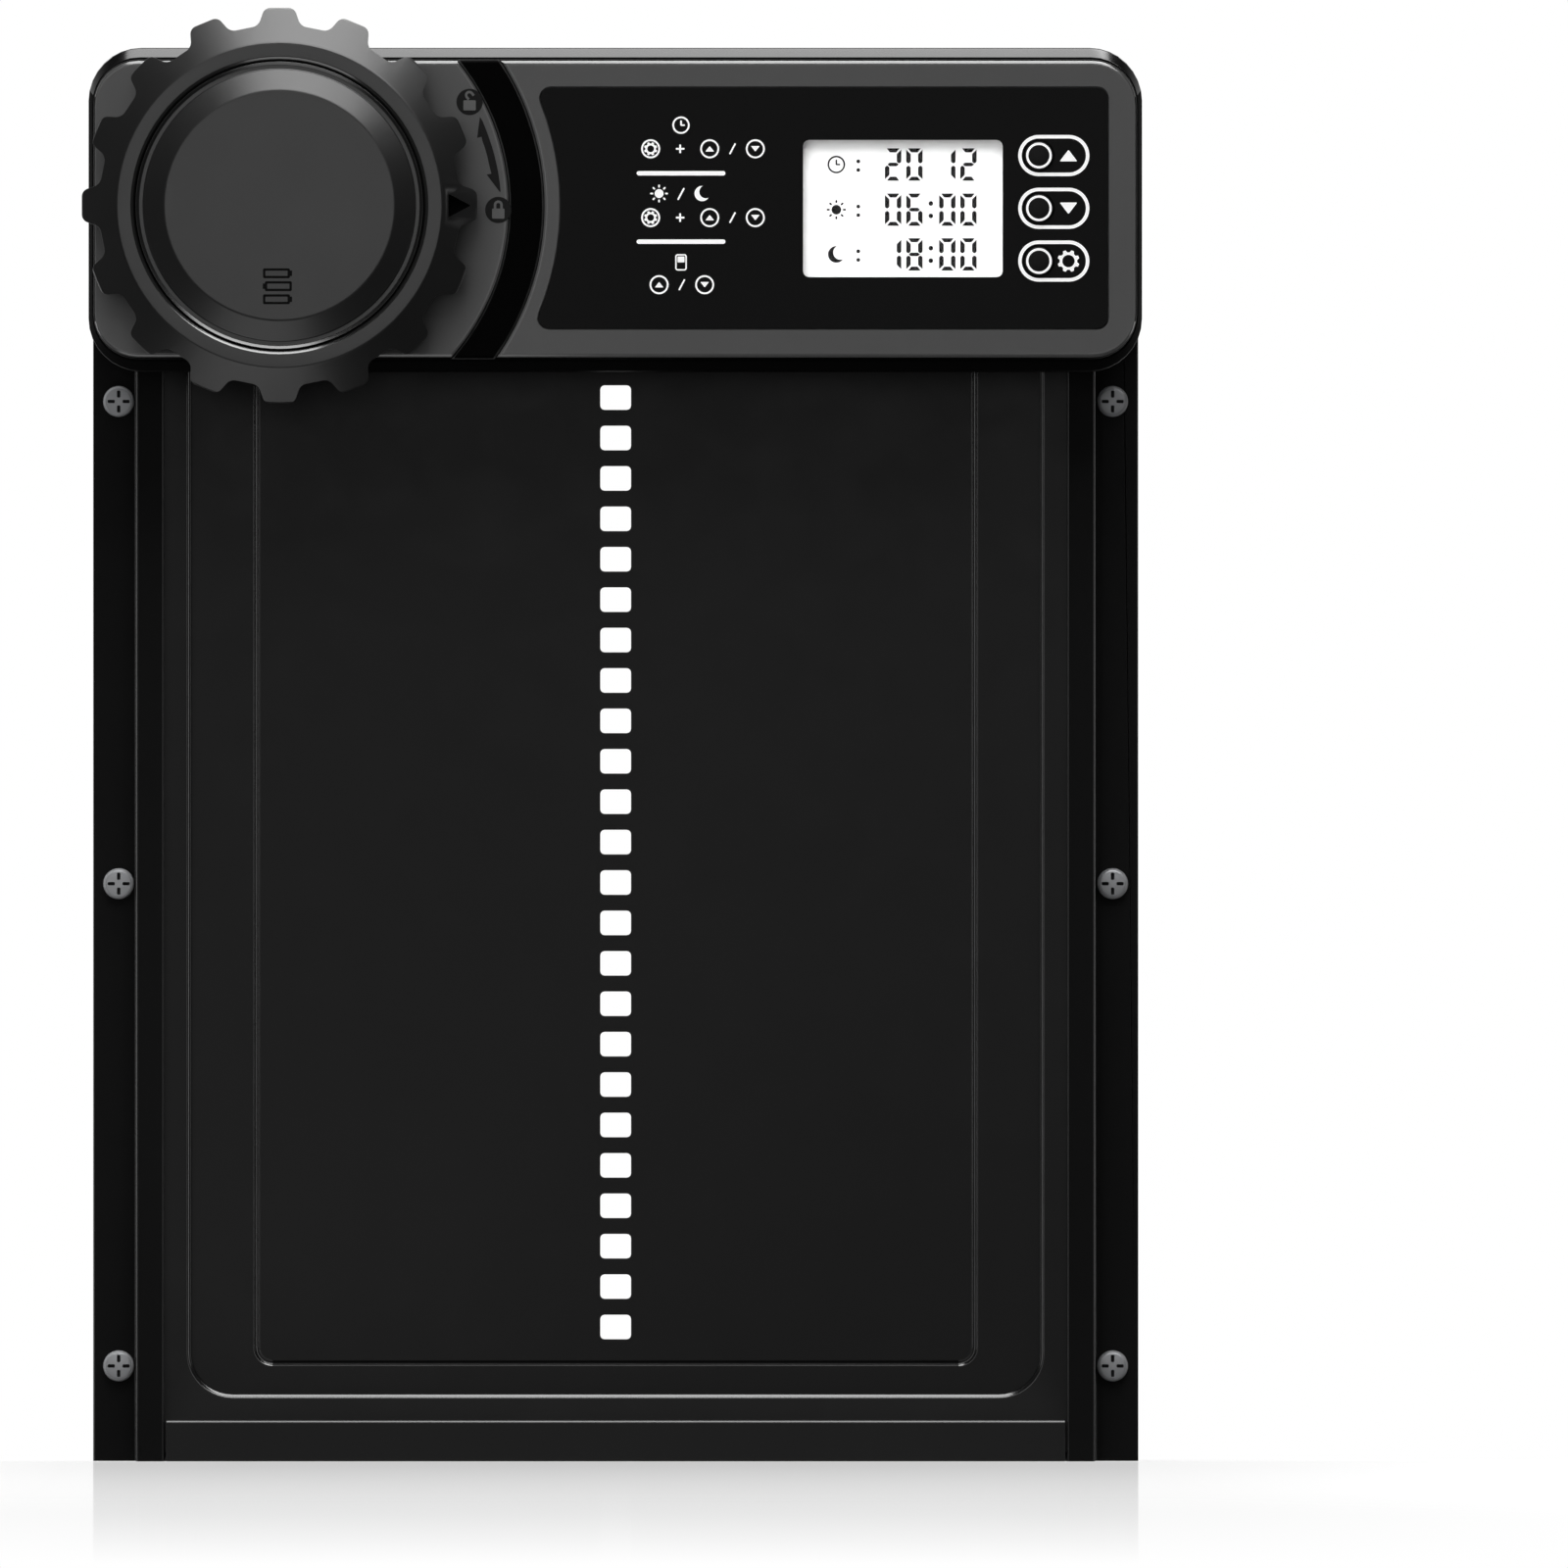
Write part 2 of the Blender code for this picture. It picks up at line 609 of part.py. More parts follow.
def make_front_cover():
    w, h, r = 123.65 * MM, 35.5 * MM, 10.7 * MM
    rings = [
        header_ring(w - 2.65 * MM, h - 2.6 * MM, r - 2.4 * MM, COVER_INNER),
        header_ring(w - 2.25 * MM, h - 2.2 * MM, r - 2.1 * MM, COVER_RIM),
        header_ring(w, h, r, COVER_RIM),
    ]
    for step in range(5):
        angle = math.pi / 2 * step / 4
        inward = 1 - math.cos(angle)
        y = FACE + 1.4 * MM * (1 - math.sin(angle))
        rings.append(header_ring(w - 0.55 * MM * inward, h - 1.3 * MM * inward, r - 0.8 * MM * inward, y))
    cover = piece("front_cover", loft(rings), "charcoal_plastic")

    axis = (CAP_X, CAP_Z)
    beyond = FACE - 1 * MM
    groove = prism(sector(*ARC_GROOVE, -0.78, 0.78, 24, axis), beyond, FACE + 1.4 * MM)
    pocket = prism(panel_outline(0), beyond, FACE + 1.2 * MM)
    step = 2 * math.pi / 48
    round_mouth = arc(axis, BORE + 0.9 * MM, step / 2, 2 * math.pi - step / 2, 47)
    mouth = prism(round_mouth, beyond, COVER_INNER + 1 * MM)
    cut(cover, merged([groove, pocket, mouth]))

    bay = [(BORE, FACE + 0.2 * MM), (BORE + 1.8 * MM, FACE + 0.2 * MM)]
    bay += [(BORE + 1.8 * MM, -41.8 * MM), (BORE, -41.8 * MM)]
    join(cover, turned(bay, 48, at=(CAP_X, 0, CAP_Z)))
    sink = 0.5 * MM
    bosses = [
        rod(2.6 * MM, -40.9 * MM, COVER_INNER - sink, 12, at=at) for at in header_corners(CASE_SCREW)
    ]
    for x, z in BOARD_POSTS:
        post = [(0, COVER_INNER - sink), (2.5 * MM, COVER_INNER - sink), (2.5 * MM, BOARD_Y[0] - GAP)]
        post += [(1.1 * MM, BOARD_Y[0] - GAP), (1.1 * MM, BOARD_Y[1] + GAP), (2.0 * MM, BOARD_Y[1] + GAP)]
        post += [(1.6 * MM, BOARD_Y[1] + 1.1 * MM), (0, BOARD_Y[1] + 1.1 * MM)]
        bosses.append(turned(post, 12, at=(x, 0, z)))
    join(cover, merged(bosses))

    # The window's hole holds the lens, which the legend panel overlaps in front.
    window = box(*window_sides(1.5 * MM, (beyond, -47 * MM)))
    holes = [rod(1.65 * MM, -47.0 * MM, -40 * MM, 12, at=at) for at in header_corners(CASE_SCREW)]
    cut(cover, merged([window] + holes + button_holes(beyond, -47 * MM)))
    # Two studs on the bay's wall hold the cap.
    studs = [rod(1.2 * MM, a * MM, b * MM, 10, "X") for a, b in ((29.7, 32.0), (-32.0, -29.7))]
    for stud in studs:
        bmesh.ops.translate(stud, verts=stud.verts, vec=(CAP_X, -44.2 * MM, CAP_Z))
    join(cover, merged(studs))


def window_sides(margin, y):
    """The limits of a block behind the window, this much larger than the window all round."""
    x = (WINDOW_X[0] - margin, WINDOW_X[1] + margin)
    z = (WINDOW_Z[0] - margin, WINDOW_Z[1] + margin)
    return x, y, z


def button_holes(front, back):
    return [
        rod(BUTTON_RADIUS + GAP, front, back, 20, at=(BUTTON_X, 0, z)) for z in BUTTON_Z.values()
    ]


def panel_outline(inset):
    """The legend panel: straight on three sides, with an arc about the cap on the left."""
    axis = (CAP_X, CAP_Z)
    low, high = PANEL_Z[0] + inset, PANEL_Z[1] - inset
    right = PANEL_RIGHT - inset
    corner = 2.8 * MM - inset
    radius = PANEL_ARC + inset
    turn = math.pi / 2
    outline = arc((right - corner, low + corner), corner, -turn, 0, 4)
    outline += arc((right - corner, high - corner), corner, 0, turn, 4)
    # The left corners round off between the straight edge and the arc.
    top = math.asin((high - corner - axis[1]) / (radius + corner))
    bottom = math.asin((low + corner - axis[1]) / (radius + corner))
    for angle, start, end in ((top, turn, math.pi + top), (bottom, math.pi + bottom, 3 * turn)):
        centre = (
            axis[0] + (radius + corner) * math.cos(angle),
            axis[1] + (radius + corner) * math.sin(angle),
        )
        outline += arc(centre, corner, start, end, 4)
        if angle == top:
            outline += arc(axis, radius, top, bottom, 12)[1:-1]
    return outline


def make_trim():
    """Everything that is set into the front cover or lies just behind it."""
    gasket = [
        header_ring(122.7 * MM, 34.8 * MM, 9.9 * MM, -40.9 * MM),
        header_ring(122.7 * MM, 34.8 * MM, 9.9 * MM, -39.8 * MM),
        header_ring(121.7 * MM, 33.8 * MM, 8.9 * MM, -39.8 * MM),
        header_ring(121.7 * MM, 33.8 * MM, 8.9 * MM, -40.9 * MM),
    ]
    piece("case_gasket", band(gasket), "rubber")

    inner, outer = ARC_GROOVE[0] + GAP, ARC_GROOVE[1] - GAP
    top = HEADER_Z + 34.1 * MM - CAP_Z
    bottom = HEADER_Z - 34.1 * MM - CAP_Z
    axis = (CAP_X, CAP_Z)
    outline = arc(axis, outer, math.asin(bottom / outer), math.asin(top / outer), 20)
    outline += arc(axis, inner, math.asin(top / inner), math.asin(bottom / inner), 20)
    piece("arc_inlay", prism(outline, FACE + 0.3 * MM, FACE + 1.1 * MM), "gloss_black")

    sheet = prism(panel_outline(GAP), FACE + 0.1 * MM, FACE + 0.9 * MM)
    panel = piece("legend_panel", sheet, "gloss_black")
    window = prism(rounded(*WINDOW_X, *WINDOW_Z, 1.4 * MM, steps=3), FACE - 1 * MM, FACE + 2 * MM)
    cut(panel, merged([window] + button_holes(FACE - 1 * MM, FACE + 2 * MM)))

    lens = box(*window_sides(1.2 * MM, (FACE + 1.2 * MM, FACE + 2.2 * MM)))
    piece("lcd_lens", lens, "clear")
    block = box(*window_sides(2.5 * MM, (-47.7 * MM, BOARD_Y[0] - GAP)))
    module = piece("lcd_module", block, "white_nylon")
    recess = prism(rounded(*WINDOW_X, *WINDOW_Z, 1.0 * MM, steps=1), -48.5 * MM, -47.1 * MM)
    cut(module, recess)


def make_board():
    board = piece(
        "circuit_board",
        box((35 * MM, 114 * MM), BOARD_Y, (HEADER_Z - 30.5 * MM, HEADER_Z + 30.5 * MM)),
        "circuit_green",
    )
    back = BOARD_Y[1]
    parts = (
        ((52, 62), 4.0, (272, 284)),  # relay driver
        ((70, 82), 1.6, (292, 304)),  # controller
        ((90, 105), 6.0, (306, 318)),  # buzzer
        ((60, 76), 7.5, (312, 319)),  # motor and battery terminals
    )
    blocks = []
    for x, deep, z in parts:
        place_x, place_z = [v * MM for v in x], [v * MM for v in z]
        blocks.append(box(place_x, (back - 0.5 * MM, back + deep * MM), place_z))
    join(board, merged(blocks))
    holes = [rod(1.4 * MM, -43 * MM, -39 * MM, 12, at=(x, 0, z)) for x, z in BOARD_POSTS]
    cut(board, merged(holes))


def make_buttons():
    for name, z in BUTTON_Z.items():
        at = (BUTTON_X, FACE, z)
        r = BUTTON_RADIUS / MM
        cap = [(0, -0.8), (r - 0.4, -0.8), (r, -0.4), (r, 2.5), (r + 0.9, 2.5), (r + 0.9, 3.5)]
        cap += [(1.6, 3.5), (1.6, 4.1), (0, 4.1)]
        piece(f"button_{name}", turned(in_mm(cap), 20), "gloss_black", at=at)
        side = 3.0 * MM
        switch = piece(
            f"tact_switch_{name}",
            box((-side, side), (5.7 * MM, 8.0 * MM), (-side, side)),
            "black_paint",
            at=at,
        )
        join(switch, rod(1.6 * MM, 5.0 * MM, 6.2 * MM, 12))


# Battery bay ---------------------------------------------------------------------------------


def make_battery_cap():
    axis = empty("cap_axis", at=(CAP_X, FACE, CAP_Z), parent=ASSEMBLY)
    section = [  # radius, distance in front of the cover's face
        (0, 9.0),
        (34.2, 9.0),
        (34.9, 9.5),
        (35.3, 10.8),
        (35.6, 11.0),
        (37.9, 11.0),
        (38.8, 10.6),
        (46.9, 6.4),
        (46.9, 4.4),
        (40.2, 3.4),
        (39.0, 0.4),
        (31.2, 0.4),
        (31.2, -0.7),
        (29.6, -0.7),
        (29.6, -2.5),
        (31.2, -2.5),
        (31.2, -8.0),
        (27.4, -8.0),
        (27.4, 6.6),
        (0, 6.6),
    ]
    body = turned([(r * MM, -f * MM) for r, f in section], 64)
    cap = piece("battery_cap", body, "charcoal_plastic", parent=axis)

    outline = []
    for lobe in range(LOBES):
        middle = 2 * math.pi * lobe / LOBES
        flank = [(VALLEY_RADIUS, 4.9), (LOBE_RADIUS - 1.3 * MM, 3.9), (LOBE_RADIUS + 0.1 * MM, 2.7)]
        for side in (-1, 1):
            for radius, half in flank if side < 0 else reversed(flank):
                angle = middle + side * math.asin(half * MM / radius)
                outline.append((radius * math.cos(angle), radius * math.sin(angle)))
    boolean(cap, prism(outline, -20 * MM, 15 * MM), "INTERSECT")

    # L-shaped grooves let the two studs of the bay in, and hold them after the turn.
    depth = 29.2 * MM
    reach = PLUG + 1 * MM
    room = math.asin(1.6 * MM / PLUG)
    stud = 6.1 * MM  # the studs' distance behind the face
    grooves = []
    for stud_angle in (0, math.pi):
        entry = stud_angle - UNLOCK
        outline = sector(depth, reach, entry - room, stud_angle + room, 6)
        grooves.append(prism(outline, stud - 1.6 * MM, stud + 1.6 * MM))
    cut(cap, merged(grooves))
    entries = []
    for stud_angle in (0, math.pi):
        entry = stud_angle - UNLOCK
        outline = sector(depth - 0.05 * MM, reach + 0.1 * MM, entry - room, entry + room, 3)
        entries.append(prism(outline, stud, 9 * MM))
    cut(cap, merged(entries))
    pointer = [(40.2 * MM, -2.7 * MM), (45.4 * MM, 0), (40.2 * MM, 2.7 * MM)]
    cut(cap, prism(pointer, -12 * MM, -7.4 * MM))

    disc = [(0, 9.3), (32.2, 9.3), (33.0, 10.0), (33.0, 11.0), (32.6, 11.6), (31.9, 11.8)]
    disc += [(27.2, 13.4), (0, 13.4)]
    body = turned([(r * MM, -f * MM) for r, f in disc], 64)
    piece("cap_disc", body, "charcoal_plastic", parent=axis)
    seal = [(r, 1.6 * MM + y) for r, y in circle((30.55 * MM, 0), 0.6 * MM, 6)]
    piece("cap_seal", turned(seal, 48), "rubber", parent=axis)


def make_battery_tray():
    half_x, half_z = 24.3 * MM, 30.1 * MM
    wall = 1.5 * MM
    x, z = CAP_X, CAP_Z

    def ring(inset, y):
        a, b = half_x - inset, half_z - inset
        return placed([(x - a, z - b), (x + a, z - b), (x + a, z + b), (x - a, z + b)], "Y", y)

    floor, rim = -25.2 * MM, -41.5 * MM
    tray = piece(
        "battery_tray",
        loft([ring(0, floor), ring(0, rim), ring(wall, rim), ring(wall, floor - wall)]),
        "charcoal_plastic",
    )
    posts = []
    for side_x in (-1, 1):
        for side_z in (-1, 1):
            at = (x + side_x * 25.7 * MM, 0, z - 0.8 * MM + side_z * 28.8 * MM)
            posts.append(rod(2.2 * MM, -47.8 * MM, -30 * MM, 10, at=at))
    join(tray, merged(posts))


def cell_places():
    """x of each cell, and +1 where its positive end is up."""
    return [(CAP_X - CELL_SPACING, 1), (CAP_X, -1), (CAP_X + CELL_SPACING, 1)]


PLATE_FACE = 27.8 * MM  # from the bay's middle to the faces of the contact plates
CELL_LENGTH = 50.5 * MM
SPRING_LENGTH = 4.5 * MM


def make_cells():
    radius = CELL_RADIUS / MM
    profile = [(0, 0), (6.5, 0), (radius, 0.6), (radius, 48.4), (6.3, 49.2), (2.75, 49.2)]
    profile += [(2.75, 50.5), (0, 50.5)]
    for number, (x, up) in enumerate(cell_places(), start=1):
        base = -up * (PLATE_FACE - SPRING_LENGTH - GAP)
        points = [(r * MM, base + up * h * MM) for r, h in profile]
        piece(f"cell_{number}", turned(points, 20, "Z"), "cell_jacket", at=(x, CELL_Y, CAP_Z))


def coil(at, up, turns=2.5, wire=0.35 * MM):
    """A conical spring that stands on a contact plate and narrows towards the cell."""
    shape = bmesh.new()
    steps = int(turns * 10)
    loops = []
    for i in range(steps + 1):
        t = i / steps
        angle = 2 * math.pi * turns * t
        radius = (4.6 - 1.8 * t) * MM
        height = up * (SPRING_LENGTH * t - wire * (2 * t - 1) - 0.15 * MM * (1 - t))
        outward = Vector((math.cos(angle), math.sin(angle), 0))
        middle = Vector(at) + outward * radius + Vector((0, 0, height))
        ring = []
        for k in range(4):
            turn = math.pi / 2 * k + math.pi / 4
            side = outward * math.cos(turn) + Vector((0, 0, math.sin(turn)))
            ring.append(shape.verts.new(middle + wire * side))
        loops.append(ring)
    for first, second in zip(loops, loops[1:]):
        for k in range(4):
            shape.faces.new((first[k], first[(k + 1) % 4], second[(k + 1) % 4], second[k]))
    shape.faces.new(loops[0])
    shape.faces.new(loops[-1])
    return shape


def make_contacts():
    """Four plates put the cells in series. Each negative end has a spring."""
    places = cell_places()
    half = 5.6 * MM
    plates = (
        ("contact_positive", 1, (places[0],), None),
        ("contact_link_lower", -1, places[:2], places[0]),
        ("contact_link_upper", 1, places[1:], places[1]),
        ("contact_negative", -1, (places[2],), places[2]),
    )
    for name, up, served, sprung in plates:
        z = sorted((CAP_Z + up * PLATE_FACE, CAP_Z + up * (PLATE_FACE + 0.5 * MM)))
        x = (served[0][0] - half, served[-1][0] + half)
        plate = piece(name, box(x, (CELL_Y - half, CELL_Y + half), z), "bright_steel")
        if sprung:
            join(plate, coil((sprung[0], CELL_Y, CAP_Z + up * PLATE_FACE), -up))


# Screws --------------------------------------------------------------------------------------


def make_screw(name, profile, sides, places, reach, width, front, back, finish):
    """Copies of one turned screw with a cross recess, at each place."""
    mesh = None
    for number, at in enumerate(places, start=1):
        if mesh is None:
            mesh = mesh_of(name, turned(in_mm(profile), sides))
        screw = piece(f"{name}_{number}", mesh, finish, at=at)
        cut(screw, cross_recess(reach * MM, width * MM, front * MM, back * MM))


def make_screws():
    # Wall screws: pan head in front of the flange, and a point that goes into the wall.
    pan = [(0, -4.5), (2.1, -4.4), (3.2, -3.9), (3.7, -3.0), (3.7, -2.3), (1.9, -2.3)]
    pan += [(1.9, 11.0), (0, 14.0)]
    places = [(side * WALL_SCREW_X, 0, z) for side in (-1, 1) for z in WALL_SCREW_Z]
    make_screw("wall_screw", pan, 16, places, 2.3, 0.9, -5.5, -3.4, "grey_steel")

    flat = [(0, -0.2), (2.5, -0.2), (1.2, -1.6), (1.0, -2.2), (1.0, -10.8), (0, -10.8)]
    make_screw("header_screw", flat, 12, header_corners(HEADER_SCREW), 1.5, 0.6, -1.0, 0.5, "grey_steel")

    flat = [(0, -0.15), (1.85, -0.15), (1.0, -1.05), (1.0, -5.5), (0, -5.5)]
    places = [(side * BAR_SCREW_X, 0, z) for z in (SILL_SEAT / 2, PINION_Z) for side in (-1, 1)]
    make_screw("bar_screw", flat, 12, places, 1.1, 0.5, -0.7, 0.5, "grey_steel")

    # Case screws: heads behind the back shell, shanks through it into the front cover.
    pan = [(0, -10.0), (1.6, -10.0), (2.7, -10.6), (2.7, -12.0), (1.3, -12.0), (1.3, -46.6), (0, -46.6)]
    make_screw("case_screw", pan, 12, header_corners(CASE_SCREW), 1.5, 0.6, -10.9, -9.5, "grey_steel")

    pan = [(0, -23.4), (1.6, -23.4), (2.7, -22.7), (2.7, -21.3), (1.0, -21.3), (1.0, -13.6), (0, -13.6)]
    make_screw("gearbox_screw", pan, 12, gearbox_screw_places(), 1.5, 0.6, -24.0, -22.4, "grey_steel")


def main():
    make_rail("left_rail", -1)
    make_rail("right_rail", 1)
    make_sill()
    make_opening_plate()
    make_crossbar()
    make_door_guide("left_door_guide", -1)
    make_door_guide("right_door_guide", 1)
    make_door()
    make_drive()
    make_gearmotor()
    make_back_shell()
    make_front_cover()
    make_trim()
    make_board()
    make_buttons()
    make_battery_cap()
    make_battery_tray()
    make_cells()
    make_contacts()
    make_screws()


main()
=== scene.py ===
# %% [markdown]
# # An automatic coop door
# A small steel door lets the hens out by itself in the morning. It slides between two rails,
# under a header box with motor, clock and batteries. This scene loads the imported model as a
# fixed frame and gives each visible piece its rounded edges, its prints and its finish.

# %% Load the frame
import json
import math

import bmesh
import bpy
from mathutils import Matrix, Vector

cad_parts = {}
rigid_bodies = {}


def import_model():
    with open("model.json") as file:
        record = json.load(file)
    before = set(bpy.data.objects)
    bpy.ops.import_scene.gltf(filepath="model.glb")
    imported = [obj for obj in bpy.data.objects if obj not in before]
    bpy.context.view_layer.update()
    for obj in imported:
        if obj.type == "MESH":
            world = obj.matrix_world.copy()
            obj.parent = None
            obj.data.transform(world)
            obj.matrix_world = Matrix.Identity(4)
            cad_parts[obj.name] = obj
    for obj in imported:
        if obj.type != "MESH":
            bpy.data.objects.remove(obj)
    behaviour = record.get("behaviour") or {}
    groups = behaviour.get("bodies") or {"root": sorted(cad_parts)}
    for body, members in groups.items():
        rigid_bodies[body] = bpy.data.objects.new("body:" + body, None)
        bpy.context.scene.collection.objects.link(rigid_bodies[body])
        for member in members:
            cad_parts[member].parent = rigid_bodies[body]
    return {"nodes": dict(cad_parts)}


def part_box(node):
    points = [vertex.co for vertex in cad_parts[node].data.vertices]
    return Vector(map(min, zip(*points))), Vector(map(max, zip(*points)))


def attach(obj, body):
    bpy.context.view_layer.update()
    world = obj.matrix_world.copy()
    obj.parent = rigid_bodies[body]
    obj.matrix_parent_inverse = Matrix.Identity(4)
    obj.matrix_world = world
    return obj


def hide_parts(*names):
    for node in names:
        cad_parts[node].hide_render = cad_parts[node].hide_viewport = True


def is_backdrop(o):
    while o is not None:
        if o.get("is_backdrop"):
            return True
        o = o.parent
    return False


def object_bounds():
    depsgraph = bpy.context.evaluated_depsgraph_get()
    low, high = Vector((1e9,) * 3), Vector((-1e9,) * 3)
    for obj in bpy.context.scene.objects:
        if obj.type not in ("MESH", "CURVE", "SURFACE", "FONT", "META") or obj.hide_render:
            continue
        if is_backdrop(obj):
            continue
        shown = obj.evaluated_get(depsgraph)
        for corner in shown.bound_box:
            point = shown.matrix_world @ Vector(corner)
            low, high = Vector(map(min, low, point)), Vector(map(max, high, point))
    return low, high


bpy.ops.object.select_all(action="SELECT")
bpy.ops.object.delete()
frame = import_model()
cad_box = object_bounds()
bpy.ops.object.select_all(action="DESELECT")

# %% [markdown]
# ## One way to say where things are
# Places are in millimetres: x from the centre line, y from the wall (the front is minus) and
# the height from the rails' foot. One function turns them into Blender's metres.

# %% Places in millimetres
MM = 0.001
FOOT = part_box("left_rail")[0].z
FACE = -50.3  # the front of the header's cover


def at(x, y, height):
    return Vector((x * MM, y * MM, FOOT + height * MM))


def about(middle, half):
    return (middle - half, middle + half)


def placed(name, data):
    made = bpy.data.objects.new(name, data)
    bpy.context.scene.collection.objects.link(made)
    return made


print("the rails' foot is at", round(FOOT / MM, 2), "mm")

# %% [markdown]
# ## The camera
# A very long lens looks straight at the front from far away, so that the rails stay parallel.

# %% Camera
VIEW_WIDTH, FAR, SENSOR = 0.372, 15.5, 36
AIM = at(40, -30, 160.9)
camera = placed("camera", bpy.data.cameras.new("camera"))
camera.data.sensor_width = SENSOR
camera.data.lens = SENSOR * FAR / VIEW_WIDTH
camera.data.clip_end = 100
camera.location = AIM - Vector((0, FAR, 0))
camera.rotation_euler = (math.pi / 2, 0, 0)
bpy.context.scene.camera = camera
bpy.context.scene.view_settings.view_transform = "Standard"
print("lens:", round(camera.data.lens), "mm")

# %% [markdown]
# ## Building materials node by node
# A finish is a Principled shader fed by a few texture nodes. Colours are hex values, which one
# function turns into linear light. Another adds any node, sets it and joins it.

# %% Colour and node helpers
def paint(code):
    """A hex colour in linear light."""
    parts = [int(code[i : i + 2], 16) / 255 for i in (1, 3, 5)]
    linear = [p / 12.92 if p <= 0.04045 else ((p + 0.055) / 1.055) ** 2.4 for p in parts]
    return (*linear, 1.0)


def feed(finish, made, inputs):
    """Fill sockets with values, other outputs, or the first output of a whole node."""
    for socket, value in inputs.items():
        if isinstance(value, bpy.types.Node):
            value = value.outputs[0]
        if isinstance(value, bpy.types.NodeSocket):
            finish.node_tree.links.new(value, made.inputs[socket])
        else:
            made.inputs[socket].default_value = value


def node(finish, kind, inputs=(), **settings):
    """Add one node. A row of inputs fills its sockets in turn, a table fills them by name."""
    made = finish.node_tree.nodes.new("ShaderNode" + kind)
    for name, value in settings.items():
        setattr(made, name, value)
    feed(finish, made, inputs if isinstance(inputs, dict) else dict(enumerate(inputs)))
    return made


def plain(name, **sockets):
    """A new material, with what is the same all over set on its shader."""
    made = bpy.data.materials.new(name)
    made.use_nodes = True
    shader = made.node_tree.nodes["Principled BSDF"]
    feed(made, shader, {socket.replace("_", " "): value for socket, value in sockets.items()})
    return made, shader


# %% [markdown]
# ## Moulded and painted surfaces
# Most of this door is black, and only the surfaces tell the blacks apart: a mould's spark
# texture, the orange peel of powder paint, the polish of a label. Each is a tiny bump of a real
# size, a slowly drifting tone and a gloss that follows smudges, all in Object coordinates.

# %% One recipe for such surfaces
def surfaced(name, dark, pale, grain, relief, smoothest, roughest, specular=0.5, **sockets):
    """Two drifting tones, a grain (mm) of some relief (mm), a roughness range and a specular level."""
    made, shader = plain(name, Specular_IOR_Level=specular, **sockets)
    where = node(made, "TexCoord").outputs["Object"]
    fine = node(made, "TexNoise", {"Vector": where, "Scale": 1 / (grain * MM), "Detail": 2.0})
    slow = node(made, "TexNoise", {"Vector": where, "Scale": 22.0, "Detail": 3.0})
    streaky = {"Vector": where, "Scale": 75.0, "Detail": 5.0, "Distortion": 0.6}
    smudge = node(made, "TexNoise", streaky)
    blend = {0: slow, 6: paint(dark), 7: paint(pale)}
    tone = node(made, "Mix", blend, data_type="RGBA").outputs[2]
    shine = node(made, "MapRange", (smudge, 0.3, 0.7, smoothest, roughest))
    bump = node(made, "Bump", {"Height": fine, "Distance": relief * MM, "Strength": 1.0})
    feed(made, shader, {"Base Color": tone, "Roughness": shine, "Normal": bump})
    print("finish:", name)
    return made


# %% Paint on steel
# Orange peel about a millimetre across. The rails are dull.
powder_rail = surfaced("dull_powder_paint", "#040404", "#060606", 1.1, 0.012, 0.46, 0.54, 0.09)
# The door and the plate keep a satin.
powder_sheet = surfaced("satin_powder_paint", "#0c0c0c", "#0f0f0f", 1.1, 0.010, 0.3, 0.36, 0.16)
# On the sill it is a little greyer.
powder_foot = surfaced("greyer_powder_paint", "#121212", "#161616", 1.1, 0.010, 0.34, 0.4, 0.16)
# Paint flows thin and glossy over a bend, so each rounded edge draws a pale line.
powder_edge = surfaced("powder_paint_on_edges", "#0e0e0e", "#101010", 1.1, 0.003, 0.18, 0.26, 0.6)
# On the roll and the bead it is thinner still, for the brightest lines.
rolled_edge = surfaced("powder_paint_on_the_roll", "#0a0a0a", "#0c0c0c", 1.1, 0.002, 0.14, 0.2, 1.0)

# %% Plastics and rubber
# Spark-textured ABS: a dull, even charcoal that hardly mirrors.
charcoal_abs = surfaced("textured_charcoal_abs", "#454545", "#494949", 0.35, 0.006, 0.52, 0.6, 0.2)
# Its polished rims catch the lamp.
charcoal_rim = surfaced("polished_charcoal_rim", "#454545", "#494949", 0.5, 0.001, 0.14, 0.2, 1.0)
# A darker, polished ABS, so the grip's cone catches a long highlight.
grip_abs = surfaced("polished_dark_abs", "#0f0f0f", "#121212", 0.5, 0.0012, 0.3, 0.33, 0.65)
# The outer slope of the cap's channel is mirror smooth, under a clear skin.
skin = {"Coat_Weight": 0.8, "Coat_Roughness": 0.12}
groove_slope = surfaced("polished_groove", "#0f0f0f", "#121212", 0.5, 0.0006, 0.14, 0.18, 1.0, **skin)
# The inner slope is duller, for a softer line.
inner_slope = surfaced("polished_dark_ring", "#0a0a0a", "#0d0d0d", 0.5, 0.0006, 0.2, 0.24, 1.0)
# High gloss ABS of the back shell: its top edge mirrors the lamp.
gloss_abs = surfaced("gloss_black_abs", "#040404", "#060606", 2.5, 0.0012, 0.16, 0.22, 0.58)
# The same where the mould is dull: the shell's sides and the seam. On the cover's sides and upper rim
# the black is painted shade.
dull_black_and_painted_shade = surfaced("dull_black_abs_and_painted_shade", "#050505", "#070707", 0.5, 0.004, 0.6, 0.7, 0.05)
# Back-printed polycarbonate label: an even black with a faint sheen.
label_film = surfaced("black_polycarbonate_label", "#040404", "#060606", 0.6, 0.0006, 0.47, 0.53, 0.1)
# Deep black film of the arc, darker than everything round it. The same black is painted as shade on the
# flat floor of the cap's channel.
deep_black_and_painted_shade = surfaced("deep_black_film_and_painted_shade", "#000000", "#020202", 1.5, 0.0005, 0.5, 0.6, 0.02)
# Button tops: the label's black, polished by fingers.
button_abs = surfaced("polished_button_abs", "#0c0c0c", "#0f0f0f", 0.7, 0.0008, 0.32, 0.38, 0.1)
